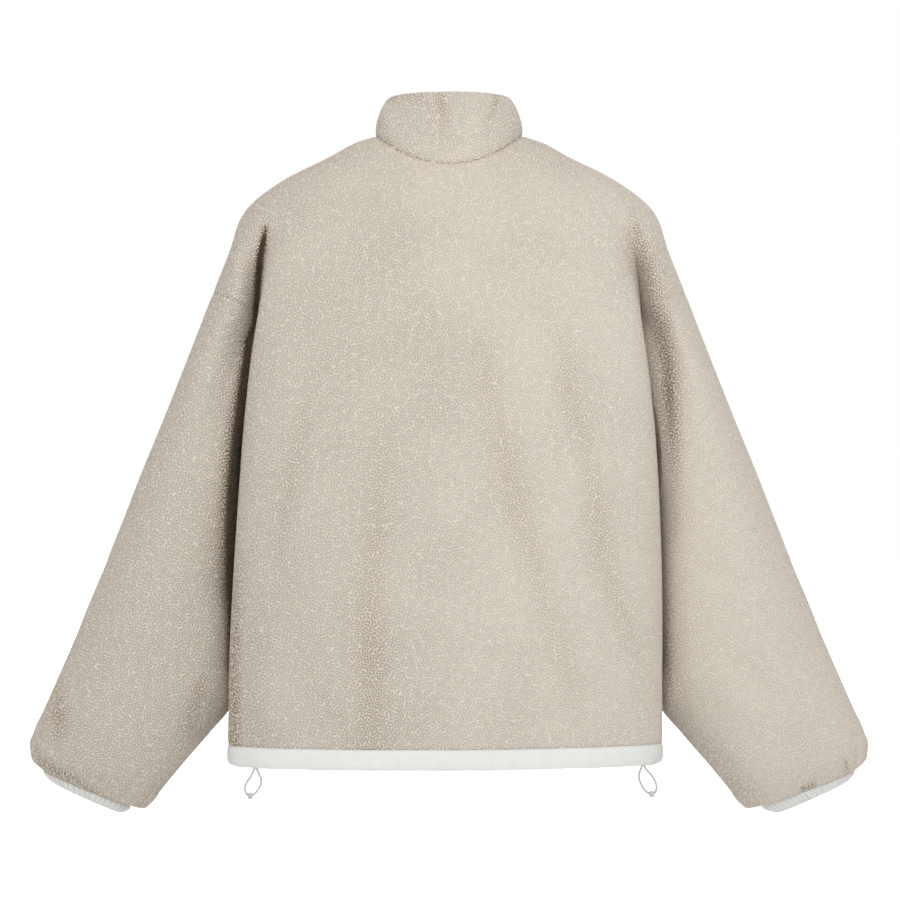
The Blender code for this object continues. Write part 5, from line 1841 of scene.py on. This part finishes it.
def add_camera():
    """The camera, straight behind the jacket."""
    scene = bpy.context.scene
    camera = bpy.data.objects.new("camera", bpy.data.cameras.new("camera"))
    camera.data.lens = CAMERA_LENS
    camera.data.sensor_width = CAMERA_SENSOR
    camera.data.clip_end = CAMERA_REACH
    camera.location = CAMERA_PLACE
    camera.rotation_euler = (math.radians(90), 0.0, math.radians(180))
    scene.collection.objects.link(camera)
    scene.camera = camera
    scene.view_settings.view_transform = "Standard"


# The add-on --------------------------------------------------------------------------------------


def colour_choice(name, description, default):
    return FloatVectorProperty(
        name=name, description=description, subtype="COLOR", size=3, min=0, max=1, default=default
    )


def number_choice(name, description, default, low=0.0, **limits):
    return FloatProperty(name=name, description=description, default=default, min=low, **limits)


class FleeceLook(bpy.types.PropertyGroup):
    """Colours and nap of the brushed fleece, and the shade painted into its pits and creases."""

    tuft: colour_choice("Tuft", "Colour of the raised curls of the nap", (0.567, 0.519, 0.458))
    # The pits' colour is painted shade between the curls; a crease's pits and depth take darker, browner
    # painted shade.
    pit: colour_choice("Pit", "Colour between the curls", (0.33, 0.285, 0.23))
    crease_pit_shade: colour_choice("Crease pit", "Colour of the pits in a crease", (0.16, 0.1, 0.047))
    crease_deep_shade: colour_choice("Crease depth", "Colour deep in a crease", (0.04, 0.022, 0.007))
    tufts: number_choice("Tufts per metre", "How fine the nap is", 350.0, 50.0)
    # How much painted shade the pits take.
    pit_shade_depth: number_choice(
        "Pit depth", "How much the pits darken the nap", 0.55, subtype="FACTOR", max=1.0
    )
    nap_height: number_choice("Nap height", "Height of the curls in millimetres", 0.9)
    sheen: number_choice("Sheen", "Light caught by the loose fibres", 0.25, subtype="FACTOR", max=1.0)


class TrimLook(bpy.types.PropertyGroup):
    """Colours of the woven hem, cuffs and tapes and of the elastic cords, and the shade painted into a
    cuff's grooves and along the hem band's seam.
    """

    cloth: colour_choice("Woven cloth", "Colour of the hem band and the cuffs", (0.66, 0.668, 0.65))
    cloth_gap: colour_choice("Weave gaps", "Colour between the threads", (0.47, 0.478, 0.46))
    # Painted shade in the grooves between a cuff's gathers and along the hem band's seam.
    cloth_groove_shade: colour_choice("Grooves", "Colour between a cuff's gathers", (0.21, 0.20, 0.18))
    cord: colour_choice("Cord", "Colour of the elastic", (0.46, 0.465, 0.45))
    cord_gap: colour_choice("Cord gaps", "Colour between the elastic's strands", (0.36, 0.365, 0.35))


class ZipLook(bpy.types.PropertyGroup):
    """Colours of the zip."""

    metal: colour_choice("Metal", "Colour of the slider, tab and ends", (0.66, 0.655, 0.64))
    metal_rubbed: colour_choice("Rubbed metal", "Colour of metal that is rubbed", (0.42, 0.415, 0.40))
    teeth: colour_choice("Teeth", "Colour of the moulded teeth", (0.70, 0.69, 0.66))
    teeth_rubbed: colour_choice("Rubbed teeth", "Colour of teeth that are rubbed", (0.50, 0.49, 0.46))


class StageLook(bpy.types.PropertyGroup):
    """Brightness of the lights round the jacket."""

    surround: number_choice("Surround", "Strength of the white surround", 0.655)
    floor_glow: number_choice("Floor glow", "Light that the floor adds", 0.2)
    key: number_choice("Key light", "Power of the light high behind the jacket", 44.0)
    top: number_choice("Top light", "Power of the light above the jacket", 39.0)


class JACKET_OT_body(bpy.types.Operator):
    """Make the back and the two fronts"""

    bl_idname = "jacket.body"
    bl_label = "Body"

    def execute(self, _context):
        for name in ("back", "front_left", "front_right"):
            add_shell(name, fleece())
        return {"FINISHED"}


class JACKET_OT_sleeves(bpy.types.Operator):
    """Make the two sleeves and their gathered cuffs"""

    bl_idname = "jacket.sleeves"
    bl_label = "Sleeves and cuffs"

    def execute(self, _context):
        for side in ("left", "right"):
            add_shell("sleeve_" + side, fleece())
            add_shell("cuff_" + side, woven("cuff_cloth"))
        return {"FINISHED"}


class JACKET_OT_collar(bpy.types.Operator):
    """Make the stand collar"""

    bl_idname = "jacket.collar"
    bl_label = "Collar"

    def execute(self, _context):
        add_shell("collar", fleece())
        return {"FINISHED"}


class JACKET_OT_hem_band(bpy.types.Operator):
    """Make the woven band round the hem"""

    bl_idname = "jacket.hem_band"
    bl_label = "Hem band"

    def execute(self, _context):
        add_shell("hem_band", woven("hem_cloth"))
        return {"FINISHED"}


class JACKET_OT_zip(bpy.types.Operator):
    """Make the zip's tapes, teeth and stitching, and finish its box, stops, slider and tab"""

    bl_idname = "jacket.zip"
    bl_label = "Zip"

    def execute(self, _context):
        line, out = jacket_skin()[1]
        length = float(step_lengths(line).sum())
        add_tapes(line, out, length)
        add_teeth(line, out, ZIP_BOX_LENGTH + SEAM_GAP, length - SLIDER_BELOW_TOP - TEETH_BELOW_SLIDER)
        for side in ("left", "right"):
            add_topstitch(side)
        for name, rounding in ROUNDED.items():
            finish_node(name, rounding)
        return {"FINISHED"}


class JACKET_OT_cords(bpy.types.Operator):
    """Make the two loops of elastic cord under the hem"""

    bl_idname = "jacket.cords"
    bl_label = "Cord loops"

    def execute(self, _context):
        for side in ("left", "right"):
            add_loop(side, jacket_skin()[2])
        return {"FINISHED"}


class JACKET_OT_stage(bpy.types.Operator):
    """Make the floor, the surround, the lights and the camera"""

    bl_idname = "jacket.stage"
    bl_label = "Stage"

    def execute(self, context):
        look = context.scene.jacket_stage
        add_floor(look.floor_glow)
        add_surround(look.surround)
        add_light("key", KEY_PLACE, look.key)
        add_light("top", TOP_PLACE, look.top)
        add_camera()
        return {"FINISHED"}


MAKERS = (
    JACKET_OT_stage,
    JACKET_OT_cords,
    JACKET_OT_body,
    JACKET_OT_sleeves,
    JACKET_OT_collar,
    JACKET_OT_hem_band,
    JACKET_OT_zip,
)
LOOKS = {
    "jacket_fleece": FleeceLook,
    "jacket_trim": TrimLook,
    "jacket_zip": ZipLook,
    "jacket_stage": StageLook,
}


class JACKET_PT_panel(bpy.types.Panel):
    """Lists the jacket's pieces and their settings"""

    bl_idname = "JACKET_PT_panel"
    bl_label = "Fleece jacket"
    bl_space_type = "VIEW_3D"
    bl_region_type = "UI"
    bl_category = PANEL_PLACE

    def draw(self, context):
        for name, look in LOOKS.items():
            box = self.layout.box()
            for setting in look.__annotations__:
                box.prop(getattr(context.scene, name), setting)
        for maker in MAKERS:
            self.layout.operator(maker.bl_idname)


def register():
    for kind in (*LOOKS.values(), *MAKERS, JACKET_PT_panel):
        bpy.utils.register_class(kind)
    for name, look in LOOKS.items():
        setattr(bpy.types.Scene, name, PointerProperty(type=look))


def unregister():
    for name in LOOKS:
        delattr(bpy.types.Scene, name)
    for kind in (JACKET_PT_panel, *reversed(MAKERS), *reversed(tuple(LOOKS.values()))):
        bpy.utils.unregister_class(kind)


def main():
    register()
    for maker in MAKERS:
        module, name = maker.bl_idname.split(".")
        getattr(getattr(bpy.ops, module), name)()


if __name__ == "__main__":
    main()
